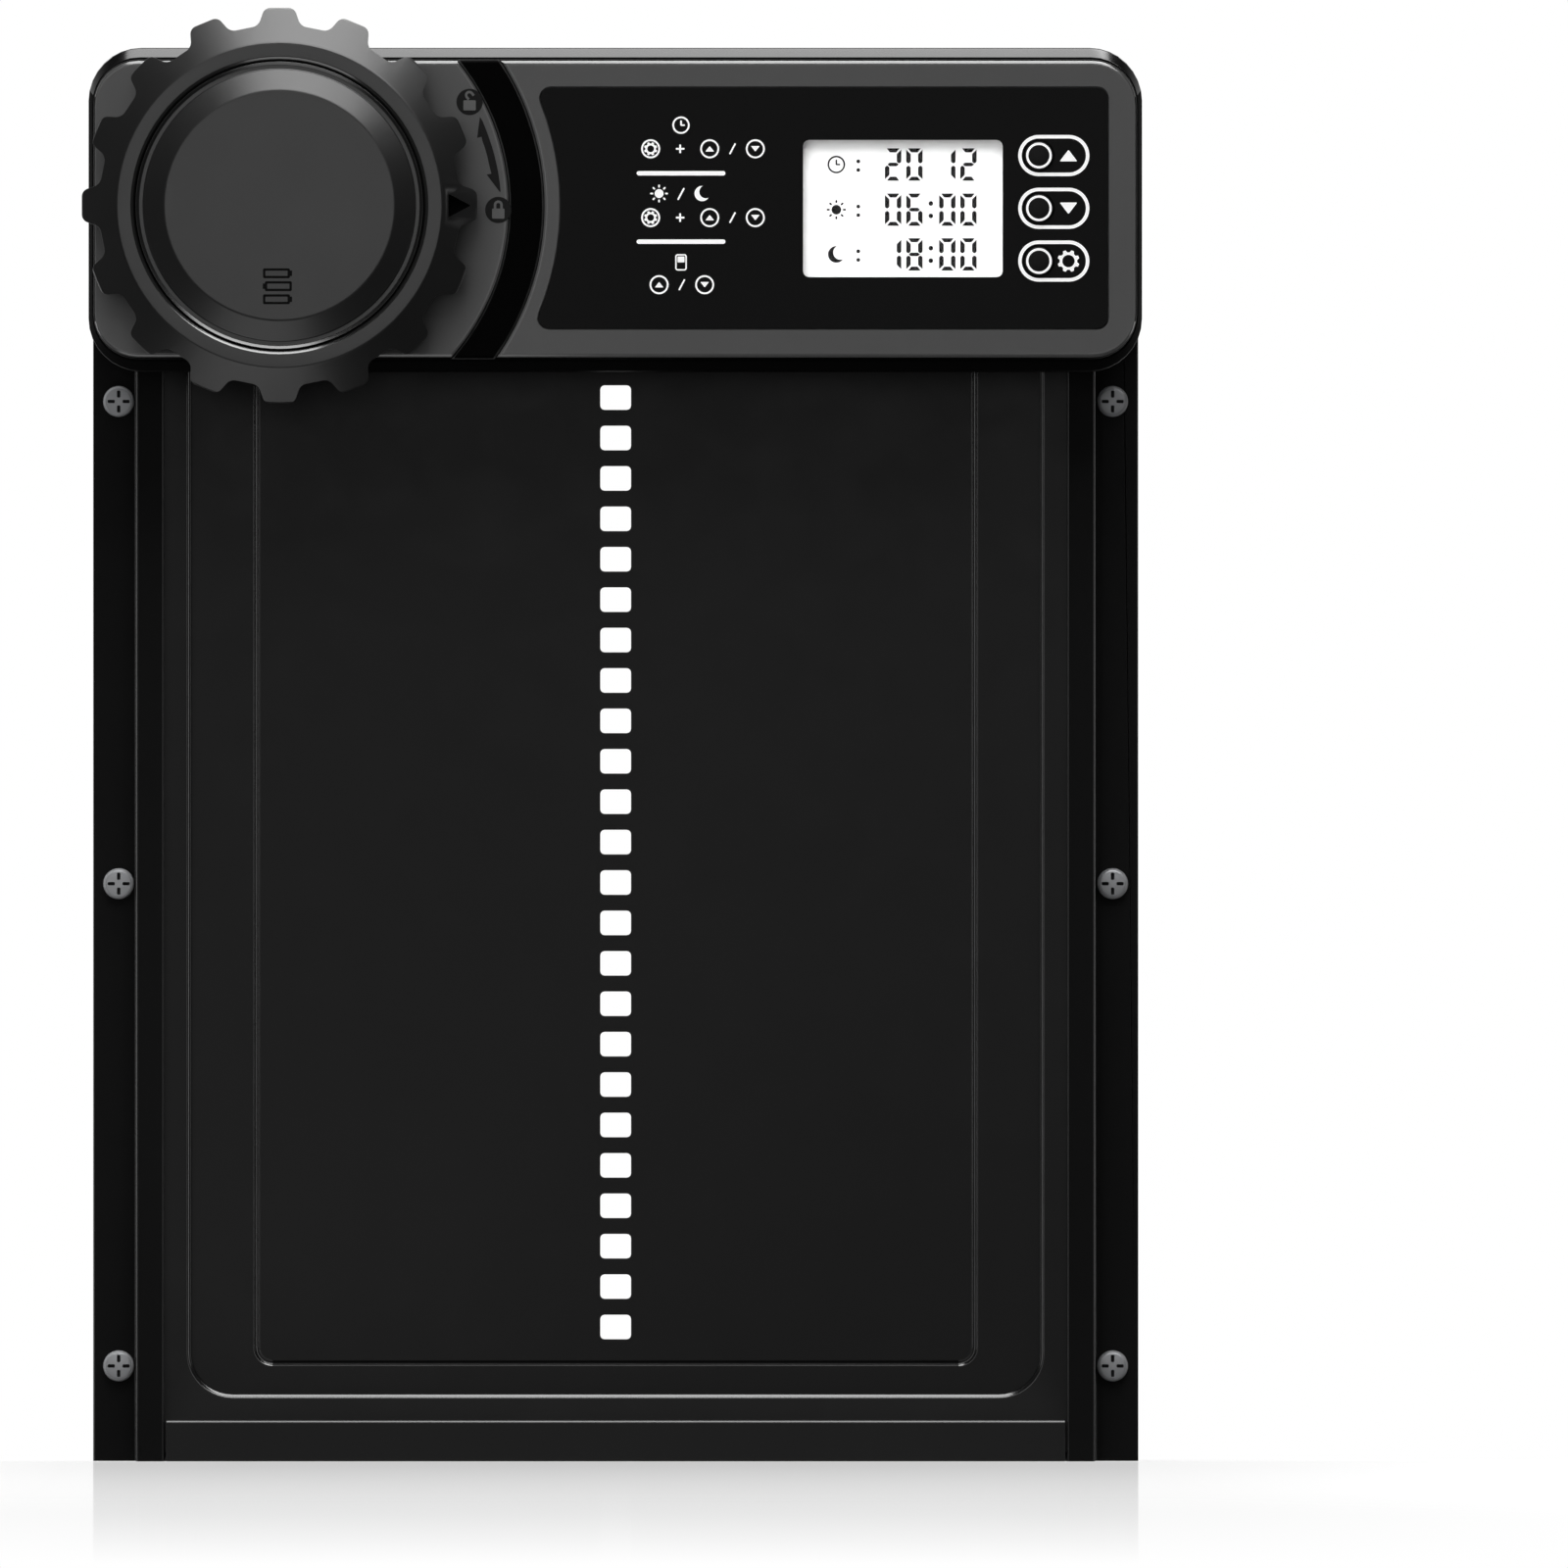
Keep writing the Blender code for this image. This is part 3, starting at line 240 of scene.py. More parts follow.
# Plain black moulded ABS inside the header.
inner_abs = surfaced("moulded_black_abs", "#161616", "#1a1a1a", 0.5, 0.006, 0.45, 0.6)
# Silicone rubber seals: matt, with a dusty bloom.
seal_rubber = surfaced("silicone_rubber", "#121212", "#1a1a1a", 0.4, 0.008, 0.7, 0.85, 0.3)
# White acetal gears and guides: waxy and slightly translucent.
waxy = {"Subsurface_Weight": 0.15, "Subsurface_Scale": 0.002}
acetal = surfaced("white_acetal", "#dad9d2", "#e2e1da", 0.8, 0.002, 0.32, 0.42, **waxy)

# %% [markdown]
# ## Metals
# Bare and plated steel is fully metallic. The wall screws' black phosphate is half a mineral crust, so
# it is only partly metallic. Their rims carry a painted highlight and their recesses painted shade, and
# neither mirrors anything.

# %% Metal finishes
crust, metal = {"Metallic": 0.6}, {"Metallic": 1.0}
# Blackened phosphate: a soft grey sheen on the flat of the screw heads.
black_steel = surfaced("black_phosphate_steel", "#868789", "#8e8f91", 0.25, 0.004, 0.38, 0.5, **crust)
# An even pale grey is painted on the rim as its highlight, and it mirrors nothing.
rim_highlight_steel = surfaced("screw_rim_painted_highlight", "#8c8d8f", "#949597", 0.25, 0.002, 0.55, 0.65, 0.3)
# Painted shade, dark in the recess, so that the four arms of the cross stand out.
recess_shade_steel = surfaced("painted_recess_shade", "#1c1c1d", "#242425", 0.25, 0.004, 0.6, 0.7, 0.1)
# Clear zinc plating: bright with a faint spangle.
zinc_steel = surfaced("zinc_plated_steel", "#a9adb0", "#bcc0c2", 0.5, 0.002, 0.24, 0.36, **metal)
# Turned steel of the shaft and the motor: a streaky gleam.
turned_steel = surfaced("turned_steel", "#8f9194", "#a2a4a6", 0.3, 0.0015, 0.22, 0.34, **metal)
# Nickel-plated battery contacts: warm and bright.
nickel_steel = surfaced("nickel_spring_steel", "#b8b3a6", "#c9c4b8", 0.4, 0.001, 0.16, 0.26, **metal)

# %% [markdown]
# ## Ink, display and board
# Screen ink is almost flat. The display is a pale reflector behind a clear window, and the
# board's green mask lets its tracks show through.

# %% Finishes of small parts
INK_TOOTH = (0.2, 0.001, 0.55, 0.65)
# The legend's white ink has a faint painted glow, so it looks as bright as a lit sign; the other inks
# are dull.
lit = {"Emission_Color": (1, 1, 1, 1), "Emission_Strength": 0.18}
white_ink = surfaced("white_screen_ink_with_painted_glow", "#f8f8f8", "#fcfcfc", *INK_TOOTH, **lit)
grey_ink = surfaced("grey_screen_ink", "#545454", "#585858", *INK_TOOTH, 0.1)
black_ink = surfaced("black_screen_ink", "#060606", "#080808", *INK_TOOTH, 0.05)
dark_ink = surfaced("charcoal_screen_ink", "#151515", "#181818", *INK_TOOTH, 0.05)
# The reflector is paper white with a faint painted glow, and the segments on it are a flat black.
lit = {"Emission_Color": paint("#f8faf8"), "Emission_Strength": 0.02}
lcd_white = surfaced("lcd_reflector_with_painted_glow", "#eeeeee", "#f2f2f2", 0.3, 0.0005, 0.5, 0.6, **lit)
segment_ink = surfaced("liquid_crystal_black", "#050505", "#070707", 0.3, 0.0003, 0.5, 0.6, 0.02)
# The sleeve of a cell: a shiny printed blue film.
cell_film = surfaced("cell_film_sleeve", "#1d2c52", "#22335c", 1.5, 0.001, 0.2, 0.3)

# %% The display's window
# Clear acrylic all but vanishes, and hair-fine wiping marks break up its mirror.
clear = {"Roughness": 0.03, "IOR": 1.2, "Transmission_Weight": 1.0}
lens_plastic, shader = plain("clear_acrylic_window", Base_Color=paint("#fefefe"), **clear)
where = node(lens_plastic, "TexCoord").outputs["Object"]
wipes = node(lens_plastic, "TexNoise", {"Vector": where, "Scale": 900.0})
marks = node(lens_plastic, "Bump", {"Height": wipes, "Distance": 0.0000006})
feed(lens_plastic, shader, {"Normal": marks})

# %% The circuit board's mask and tracks
# Green lacquer with a slight shine; the tracks under it show paler and raised.
solder_mask, shader = plain("green_solder_mask", Roughness=0.3, Coat_Weight=0.4)
where = node(solder_mask, "TexCoord").outputs["Object"]
greens = {"Color1": paint("#0c3d20"), "Color2": paint("#0f4526"), "Mortar": paint("#2c7040")}
layout = {"Vector": where, "Scale": 240.0, "Mortar Size": 0.03, "Mortar Smooth": 0.2}
tracks = node(solder_mask, "TexBrick", layout | greens)
ridge = node(solder_mask, "Bump", {"Height": tracks.outputs["Fac"], "Distance": 0.00003})
feed(solder_mask, shader, {"Base Color": tracks, "Normal": ridge})

# %% [markdown]
# ## Dressing the parts whose shape is right
# Hidden and plain parts only change their material for a real finish.

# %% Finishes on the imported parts
FINISH_OF_SLOT = {
    "satin_black_steel": powder_sheet,
    "gloss_black_shell": gloss_abs,
    "charcoal_cover": charcoal_abs,
    "gloss_black_panel": label_film,
    "black_plastic": inner_abs,
    "white_nylon": acetal,
    "clear_lens": lens_plastic,
    "lcd_panel": lcd_white,
    "circuit_board": solder_mask,
    "black_rubber": seal_rubber,
    "steel_parts": turned_steel,
    "contact_steel": nickel_steel,
    "cell_jacket": cell_film,
    "black_screws": black_steel,
    "zinc_screws": zinc_steel,
}
for part in frame["nodes"].values():
    for place in part.material_slots:
        place.material = FINISH_OF_SLOT[place.material.name.split(".")[0]]
# Light passes the window on its way to the display.
frame["nodes"]["lcd_lens"].visible_shadow = False
print("dressed", len(frame["nodes"]), "packed parts")

# %% [markdown]
# ## The floor
# The door stands on a white floor that mirrors its foot faintly, and only in front. Near the
# door it is matt, to show the shadow, and further out plain white, so that no horizon shows. For
# mirrored rays it is dark in front of the door, which keeps black gloss black.

# %% Floor
bpy.ops.mesh.primitive_plane_add(size=60, location=(0, 0, FOOT - 0.0001))
floor = bpy.context.object
floor.name = "floor"
bpy.ops.object.transform_apply()
floor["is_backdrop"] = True

white = bpy.data.materials.new("white_studio_floor")
white.use_nodes = True
white.node_tree.nodes.clear()
where = node(white, "TexCoord").outputs["Object"]
flat = node(white, "VectorMath", (where, (1, 1, 0)), operation="MULTIPLY")
away = node(white, "VectorMath", [flat], operation="LENGTH").outputs["Value"]
place = node(white, "SeparateXYZ", [where]).outputs
sideways = node(white, "Math", [place["X"]], operation="ABSOLUTE")
# Each ramp: what it measures (in metres), where it begins and ends, and its values there.
RAMPS = {
    "glow": (place["Y"], -0.1, 0.25, 0.05, 1.0),
    "back": (place["Y"], -0.01, 0.06, 0.0, 1.0),
    "in_front": (place["Y"], -0.01, 0.03, 1.0, 0.0),
    "beside": (sideways, 0.13, 0.22, 1.0, 0.0),
    "fade": (away, 0.0, 2.05, 0.48, 0.0),
    "wide": (away, 0.3, 1.2, 0.0, 1.0),
}
ramp = {name: node(white, "MapRange", row) for name, row in RAMPS.items()}
ramp["wide"].interpolation_type = "SMOOTHSTEP"

# %% What the camera sees of the floor
# A pale matt floor with some light of its own, then plain white.
LIFT = 0.84
far = node(white, "Math", (ramp["wide"], ramp["back"]), operation="MAXIMUM")
matt = node(white, "BsdfDiffuse", {"Color": paint("#959595")})
lift = node(white, "Emission", {"Strength": LIFT})
pale = node(white, "AddShader", (matt, lift))
plain_white = node(white, "Emission", {"Strength": 1.0})
seen = node(white, "MixShader", (far, pale, plain_white))
# The faint mirror: strong at a grazing view, weaker with the distance from the door.
share = node(white, "Fresnel", {"IOR": 1.45})
for factor in ("fade", "beside", "in_front"):
    share = node(white, "Math", (share, ramp[factor]), operation="MULTIPLY")
mirror = node(white, "BsdfAnisotropic", {"Roughness": 0.06})
to_camera = node(white, "MixShader", (share, seen, mirror))

# %% What black gloss sees of it, and what lights the door from below
ray = node(white, "LightPath").outputs
glow = node(white, "Emission", {"Strength": ramp["glow"]})
either = (ray["Is Glossy Ray"], ray["Is Transmission Ray"])
shiny = node(white, "Math", either, operation="ADD", use_clamp=True)
bounce = node(white, "BsdfDiffuse", {"Color": paint("#7a7a7a")})
to_others = node(white, "MixShader", (shiny, bounce, glow))
whole = node(white, "MixShader", (ray["Is Camera Ray"], to_others, to_camera))
node(white, "OutputMaterial", [whole])
floor.data.materials.append(white)
print("floor ramps:", ", ".join(ramp))

# %% [markdown]
# ## The light
# Black things are lit by what they mirror. Three soft lamps light the front and the back, and
# a card fills the flat faces; the rest of the room is dark. Five cards are only mirrored: the
# high lamp's own, one over the header, one on either side for a thin line down each edge, and
# one on the floor for the cone's foot.

# %% World
DIM, AMBIENT = 0.05, 0.12
world = bpy.data.worlds.new("studio")
bpy.context.scene.world = world
world.use_nodes = True
world.node_tree.nodes.clear()
ray = node(world, "LightPath").outputs
direction = node(world, "SeparateXYZ", [node(world, "TexCoord")]).outputs
sideways = node(world, "Math", [direction["X"]], operation="ABSOLUTE")
# Mirrored rays find light behind the door, and straight to the left and right for a side view.
behind = node(world, "MapRange", (direction["Y"], 0.0, 0.4, DIM, 1.0))
beside = node(world, "MapRange", (sideways, 0.994, 0.998, 0.0, 1.0))
open_room = node(world, "Math", (behind, beside), operation="MAXIMUM")
either = (ray["Is Glossy Ray"], ray["Is Transmission Ray"])
shiny = node(world, "Math", either, operation="ADD", use_clamp=True)
room = node(world, "Mix", {0: shiny, 2: AMBIENT, 3: open_room}, data_type="FLOAT")
level = node(world, "Mix", {0: ray["Is Camera Ray"], 2: room, 3: 1.0}, data_type="FLOAT")
node(world, "OutputWorld", [node(world, "Background", ((1, 1, 1, 1), level))])
print("ambient light:", AMBIENT)


# %% Lamps
def soft_lamp(name, place, aim, size, radiance, lights=True, mirrored=True):
    """A soft lamp of some radiance, unseen, that lights matt surfaces, is mirrored, or both."""
    lamp = bpy.data.lights.new(name, "AREA")
    lamp.shape = "RECTANGLE"
    lamp.size, lamp.size_y = size
    lamp.energy = radiance * math.pi * size[0] * size[1]
    made = placed(name, lamp)
    made.location = place
    made.rotation_euler = (Vector(aim) - Vector(place)).to_track_quat("-Z", "Y").to_euler()
    made.visible_camera = False
    made.visible_diffuse = lights
    made.visible_glossy = mirrored


CONE_FOOT = (-0.135, -0.3)
soft_lamp("key", (-0.6, -1.5, 2.3), (0, -0.03, 0.2), (1.9, 1.9), 4.2, mirrored=False)
soft_lamp("front_fill", (-1.1, -2.0, 0.35), (0, 0, 0.2), (2.0, 2.0), 2.1, mirrored=False)
soft_lamp("back_fill", (0.3, 2.4, 0.3), (0, 0, 0.17), (1.6, 0.6), 7.0, mirrored=False)
soft_lamp("front_card", (0, -2.5, 0.18), (0, 0, 0.18), (1.3, 1.3), 1.2)
soft_lamp("key_seen", (0.25, -1.20, 2.41), (0, -0.03, 0.2), (1.92, 2.7), 6.3, lights=False)
soft_lamp("top_strip", (0.2, 0.45, 2.6), (0, -0.03, 0.25), (1.9, 1.6), 5.5, lights=False)
for side in (-1, 1):
    soft_lamp("side_strip", (0.62 * side, 0.03, 0.01), (0, 0.03, 0.01), (0.36, 0.46), 1.45, lights=False)
low = (CONE_FOOT[0], CONE_FOOT[1] - 0.01, FOOT + 0.01)
soft_lamp("floor_card", low, (*CONE_FOOT, FOOT + 1), (0.24, 0.28), 1.15, lights=False)
print("lamps:", len(bpy.data.lights))

# %% [markdown]
# ## Working on one piece at a time
# Modelling by hand means: add a primitive, open it, select something, act on it. A few small
# helpers do the same, and select by place or direction.

# %% Opening, selecting and moving
def take(piece):
    bpy.ops.object.select_all(action="DESELECT")
    piece.select_set(True)
    bpy.context.view_layer.objects.active = piece


def enter():
    bpy.ops.object.mode_set(mode="EDIT")


def leave():
    bpy.ops.object.mode_set(mode="OBJECT")


def start(name):
    """Name and settle the primitive just added, and open it."""
    piece = bpy.context.object
    piece.name = piece.data.name = name
    bpy.ops.object.transform_apply()
    enter()
    return piece


def everything(kind=None):
    """Select all of the open mesh, as corners, edges or faces."""
    if kind:
        bpy.ops.mesh.select_mode(type=kind)
    bpy.ops.mesh.select_all(action="SELECT")


def pick(piece, kind, test):
    """Select the corners, edges or faces whose middle (in metres) passes a test."""
    bpy.ops.mesh.select_mode(type=kind)
    bpy.ops.mesh.select_all(action="DESELECT")
    shape = bmesh.from_edit_mesh(piece.data)
    chosen = 0
    for part in {"VERT": shape.verts, "EDGE": shape.edges, "FACE": shape.faces}[kind]:
        corners = [part.co] if kind == "VERT" else [v.co for v in part.verts]
        if test(sum(corners, Vector()) / len(corners), part):
            part.select_set(True)
            chosen += 1
    shape.select_flush_mode()
    bmesh.update_edit_mesh(piece.data)
    return chosen


def shift(x=0.0, y=0.0, height=0.0):
    bpy.ops.transform.translate(value=(x * MM, y * MM, height * MM))


def turn(degrees, middle):
    bpy.ops.transform.rotate(value=math.radians(degrees), orient_axis="Y", center_override=middle)


def stretch(wide, tall, middle):
    bpy.ops.transform.resize(value=(wide, 1, tall), center_override=middle)


def deepen(by):
    """Extrude what is selected towards the wall (plus) or to the front (minus)."""
    bpy.ops.mesh.extrude_region_move(TRANSFORM_OT_translate={"value": (0, by * MM, 0)})


def inset(width, drop=0.0):
    bpy.ops.mesh.inset(thickness=width * MM, depth=-drop * MM)


def hollow(width):
    """Inset an open face and take out its middle, which leaves a rim."""
    everything("FACE")
    inset(width)
    bpy.ops.mesh.delete(type="FACE")


def round_corners(radius, steps):
    bpy.ops.mesh.bevel(affect="VERTICES", offset=radius * MM, segments=steps)


# %% Finishing a piece
def close(piece):
    """Merge what coincides, turn the faces outwards and leave."""
    everything()
    bpy.ops.mesh.remove_doubles(threshold=1e-6)
    bpy.ops.mesh.normals_make_consistent(inside=False)
    leave()
    return piece


def joined(pieces, name):
    take(pieces[0])
    for piece in pieces:
        piece.select_set(True)
    bpy.ops.object.join()
    pieces[0].name = pieces[0].data.name = name
    return pieces[0]


def copied(piece, name, x=0.0, y=0.0, height=0.0):
    """A copy with its own mesh, moved by so many millimetres and settled."""
    made = placed(name, piece.data.copy())
    made.data.name = name
    made.location = (x * MM, y * MM, height * MM)
    take(made)
    bpy.ops.object.transform_apply()
    return made


def modify(piece, kind, **settings):
    take(piece)
    made = piece.modifiers.new(kind.lower(), kind)
    for name, value in settings.items():
        setattr(made, name, value)
    bpy.ops.object.modifier_apply(modifier=made.name)
    return piece


def cut(piece, cutter, operation="DIFFERENCE"):
    modify(piece, "BOOLEAN", object=cutter, operation=operation, solver="EXACT")
    bpy.data.objects.remove(cutter)
    return piece


def smooth(piece, corner):
    take(piece)
    bpy.ops.object.shade_smooth_by_angle(angle=math.radians(corner))
    return piece


def round_edges(piece, radius, steps=2, corner=35):
    """Round every edge sharper than corner degrees, and shade the piece smooth."""
    sharp = {"limit_method": "ANGLE", "angle_limit": math.radians(corner)}
    modify(piece, "BEVEL", width=radius * MM, segments=steps, **sharp)
    return modify(smooth(piece, corner), "WEIGHTED_NORMAL", keep_sharp=True)


def fit(piece, finish, slot, *stands_for, body="frame"):
    """Give a piece its finish, the body it moves with and the CAD nodes it stands for."""
    piece.data.materials.clear()
    piece.data.materials.append(finish)
    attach(piece, body)
    if stands_for:
        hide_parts(*stands_for)
    print("piece:", piece.name, len(piece.data.polygons), "faces")
    return piece


def polish(piece, finish, test):
    """Give another finish to the faces that pass a test."""
    take(piece)
    piece.data.materials.append(finish)
    enter()
    count = pick(piece, "FACE", test)
    piece.active_material_index = len(piece.material_slots) - 1
    bpy.ops.object.material_slot_assign()
    leave()
    print("  ", count, "faces of", piece.name, "in", finish.name)


# %% [markdown]
# ## Parts with their edges rounded
# The rails, the sill, the crossbar, the header's two halves and the label are right in shape,
# but knife sharp, and a real edge is what catches the light. A copy of each is merged into whole
# faces, its edges are rounded, and it takes the plain one's place.

# %% Rounded copies
def merged_copy(name, source):
    """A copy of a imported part, its triangles merged into whole faces."""
    made = placed(name, frame["nodes"][source].data.copy())
    take(made)
    bpy.ops.mesh.customdata_custom_splitnormals_clear()
    enter()
    everything()
    bpy.ops.mesh.remove_doubles(threshold=2e-6)
    bpy.ops.mesh.dissolve_limited(angle_limit=math.radians(0.8))
    leave()
    return made


def refined(name, source, finish, slot, radius, steps=2):
    made = round_edges(merged_copy(name, source), radius, steps)
    return fit(made, finish, slot, source)


def bent(middle, face):
    """The roundings: faces that look along none of the main directions."""
    return max(abs(c) for c in face.normal) < 0.99


def sharp_upright(middle, edge):
    along = (edge.verts[0].co - edge.verts[1].co).normalized()
    return abs(along.z) > 0.999 and len(edge.link_faces) == 2 and edge.calc_face_angle() > 0.6


# The folds of a rail run its whole height and are rounder than its cut edges.
FOLD, CUT_EDGE = 0.45, 0.12
for side in ("left", "right"):
    rail = merged_copy(f"{side}_rail_painted", f"{side}_rail")
    enter()
    pick(rail, "EDGE", sharp_upright)
    bpy.ops.mesh.bevel(affect="EDGES", offset=FOLD * MM, segments=4, clamp_overlap=False)
    leave()
    round_edges(rail, CUT_EDGE)
    fit(rail, powder_rail, "satin_black_steel", f"{side}_rail")
    polish(rail, powder_edge, bent)
sill = refined("sill_painted", "sill_bar", powder_foot, "satin_black_steel", 0.4, 3)
polish(sill, powder_edge, bent)
refined("label", "legend_panel", label_film, "gloss_black_panel", 0.1)
refined("crossbar_moulding", "rear_crossbar", acetal, "white_nylon", 0.35)

# %% The back shell
# Its front rim is a flat slope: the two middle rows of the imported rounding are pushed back. It
# is polished on top, and dull at the sides and below.
RIM_ROWS, RIM_PUSH = (-40.80, -40.24), 0.46
shell = merged_copy("shell_moulding", "back_shell")
enter()
for row_y in RIM_ROWS:
    moved = pick(shell, "VERT", lambda c, v: abs(c.y - row_y * MM) < 0.03 * MM)
    shift(y=RIM_PUSH)
    print("rim row of", moved, "corners")
leave()
round_edges(shell, 0.1, 2, 30)
fit(shell, gloss_abs, "gloss_black_shell", "back_shell")
polish(shell, dull_black_and_painted_shade, lambda c, f: f.normal.z < 0.12 or f.normal.z > 0.8)

# %% [markdown]
# ## Ways to start a piece
# Nearly everything on the front starts as a rectangle or a disc. Turned things and odd outlines
# start as a chain of corners, which is then spun or filled.

# %% Rectangle, disc and drawn chains
def rectangle(name, x, height, y, radius=0.0, steps=6):
    """A standing rectangle with round corners that faces front, left open."""
    middle = at(sum(x) / 2, y, sum(height) / 2)
    bpy.ops.mesh.primitive_plane_add(size=1, location=middle, rotation=(math.pi / 2, 0, 0))
    piece = start(name)
    everything()
    stretch((x[1] - x[0]) * MM, (height[1] - height[0]) * MM, middle)
    if radius:
        round_corners(radius, steps)
    return piece


def disc(name, x, height, y, radius, sides=48, fill="NGON"):
    """A standing disc that faces front, left open and selected."""
    upright = {"location": at(x, y, height), "rotation": (math.pi / 2, 0, 0)}
    bpy.ops.mesh.primitive_circle_add(vertices=sides, radius=radius * MM, fill_type=fill, **upright)
    piece = start(name)
    everything()
    return piece


def drawn(name, points):
    """A chain of edges through points (x, y, height), left open and selected."""
    bpy.ops.mesh.primitive_plane_add(size=0.001, location=at(*points[0]))
    piece = start(name)
    everything("VERT")
    bpy.ops.mesh.merge(type="CENTER")
    for here, there in zip(points, points[1:]):
        bpy.ops.mesh.extrude_vertices_move(TRANSFORM_OT_translate={"value": at(*there) - at(*here)})
    everything()
    return piece


def outline(name, corners, y):
    """A flat face with these (x, height) corners, left open."""
    piece = drawn(name, [(x, y, height) for x, height in corners])
    bpy.ops.mesh.edge_face_add()
    return piece


def turned(name, profile, x, height, steps=72, sweep=360):
    """Spin a profile of (radius, y) points about an axis, by some degrees."""
    piece = drawn(name, [(x + radius, y, height) for radius, y in profile])
    bpy.ops.mesh.spin(steps=steps, angle=math.radians(sweep), center=at(x, 0, height), axis=(0, 1, 0))
    return close(piece)


def sector(name, profile, x, height, steps, begin, sweep):
    """A closed body that fills only a part of the circle, from one angle on."""
    piece = turned(name, profile + profile[:1], x, height, steps, sweep)
    enter()
    everything()
    bpy.ops.mesh.fill_holes(sides=0)
    everything()
    turn(begin, at(x, 0, height))
    return close(piece)


# %% [markdown]
# ## The cover and its arc
# A wide arc runs round the cap in a groove of the cover, whose shoulders are softened by a
# sector with flared sides. The black strip in it reaches over the cover's rims, so its ends are
# drawn out and rounded.

# %% The cover
CAP_X, CAP_Z = -79.5, 297.9
GROOVE_RADII, GROOVE_BEGIN, GROOVE_SWEEP = (54.5, 62.5), -48, 96
# The flare of one side, from the depth of the groove up past the cover's face: (out, down).
FLARE = [(0.0, 0.9), (-0.07, 0.56), (-0.26, 0.26), (-0.56, 0.07), (-1.1, -0.04), (-1.1, -0.7)]
cover = merged_copy("cover_moulding", "front_cover")
inner_side = [(GROOVE_RADII[0] + out, FACE + down) for out, down in FLARE]
outer_side = [(GROOVE_RADII[1] - out, FACE + down) for out, down in reversed(FLARE)]
flared = inner_side + outer_side
cut(cover, sector("shoulder_cutter", flared, CAP_X, CAP_Z, 40, GROOVE_BEGIN, GROOVE_SWEEP))
round_edges(cover, 0.12, 2, 40)
fit(cover, charcoal_abs, "charcoal_cover", "front_cover")
polish(cover, charcoal_rim, lambda c, f: -0.985 < f.normal.y < -0.6)
# The cover's sides, its steepest rim rows and the walls of its recesses are painted black, as shade at
# the seam.
polish(cover, dull_black_and_painted_shade, lambda c, f: f.normal.y > -0.6)

# %% The black strip
STRIP_FRONT, END_ROUNDING = -49.9, 0.75
strip = merged_copy("arc_strip", "arc_inlay")
enter()
# Both ends: the height past which they lie, and how far they are drawn out to the side and up.
for end, aside, up in ((331.0, -0.9, 1.25), (263.2, -0.98, -1.25)):
    limit = at(0, 0, end).z

    def beyond(point, margin=0.0):
        return (point.z - limit) * up > margin

    def front_edge(middle, edge):
        return all(v.co.y < STRIP_FRONT * MM and beyond(v.co, 0.9 * MM) for v in edge.verts)

    pick(strip, "VERT", lambda c, v: beyond(c))
    shift(aside, 0, up)
    pick(strip, "EDGE", front_edge)
    bpy.ops.mesh.bevel(affect="EDGES", offset=END_ROUNDING * MM, segments=4)
leave()
round_edges(strip, 0.08)
fit(strip, deep_black_and_painted_shade, "gloss_black_panel", "arc_inlay")

# %% [markdown]
# ## The door
# One face is inset again and again with a little depth each time, which leaves the bead as a
# soft round groove. A bigger outline is bridged to it, the sheet gets its thickness, and a
# column of punches cuts the slots.

# %% The bead and the sheet round it
DOOR_FRONT, DOOR_BACK = -8.4, -6.9
BEAD_HALF, BEAD_HEIGHTS, BEAD_CORNER = 86.05, (22.55, 322.75), 4.55
BEAD_STEPS = ((0.25, 0.10), (0.25, 0.30), (0.25, 0.15), (0.25, -0.15), (0.25, -0.30), (0.25, -0.10))
DOOR_HALF, DOOR_HEIGHTS, DOOR_CORNER = 111, (10.5, 335.7), 4.0


def open_front(y):
    """A test for a sheet's free edges in its front face."""
    return lambda c, e: len(e.link_faces) < 2 and c.y < (y + 0.1) * MM


def bordered(piece, half, heights, y, radius, steps):
    """Bridge an open piece to a bigger rectangle round it."""
    leave()
    border = rectangle("border", about(0, half), heights, y, radius, steps)
    everything("FACE")
    bpy.ops.mesh.delete(type="ONLY_FACE")
    leave()
    joined([piece, border], piece.name)
    enter()
    pick(piece, "EDGE", open_front(y))
    bpy.ops.mesh.bridge_edge_loops()


sheet = rectangle("door_sheet", about(0, BEAD_HALF), BEAD_HEIGHTS, DOOR_FRONT, BEAD_CORNER, 8)
everything("FACE")
for width, drop in BEAD_STEPS:
    inset(width, drop)
bordered(sheet, DOOR_HALF, DOOR_HEIGHTS, DOOR_FRONT, DOOR_CORNER, 6)
close(sheet)
print("bead faces:", len(sheet.data.polygons))

# %% The sheet's thickness and its slots
SLOT_HALF, SLOT_HEIGHTS, SLOT_CORNER = 3.65, (29.0, 34.8), 1.0
SLOTS, PITCH = 28, 9.6
take(sheet)
enter()
everything()
deepen(10)
bpy.ops.transform.resize(value=(1, 0, 1), center_override=at(0, DOOR_BACK, 0))
close(sheet)
punch = rectangle("punch", about(0, SLOT_HALF), SLOT_HEIGHTS, DOOR_FRONT - 1, SLOT_CORNER, 3)
everything("FACE")
deepen(3.5)
close(punch)
row = [punch] + [copied(punch, "punch", height=i * PITCH) for i in range(1, SLOTS)]
cut(sheet, joined(row, "punch"))
round_edges(sheet, 0.22, 2, 42)
fit(sheet, powder_sheet, "satin_black_steel", "door_panel", body="door")
polish(sheet, rolled_edge, lambda c, f: bent(c, f) and abs(c.x) > 20 * MM)

# %% [markdown]
# ## The opening plate
# The edge of the pop hole is rolled, to spare the hens' feathers: again a row of insets, which
# ends in an open hole. The plate's outline is bridged to it, and both rims are bridged behind.

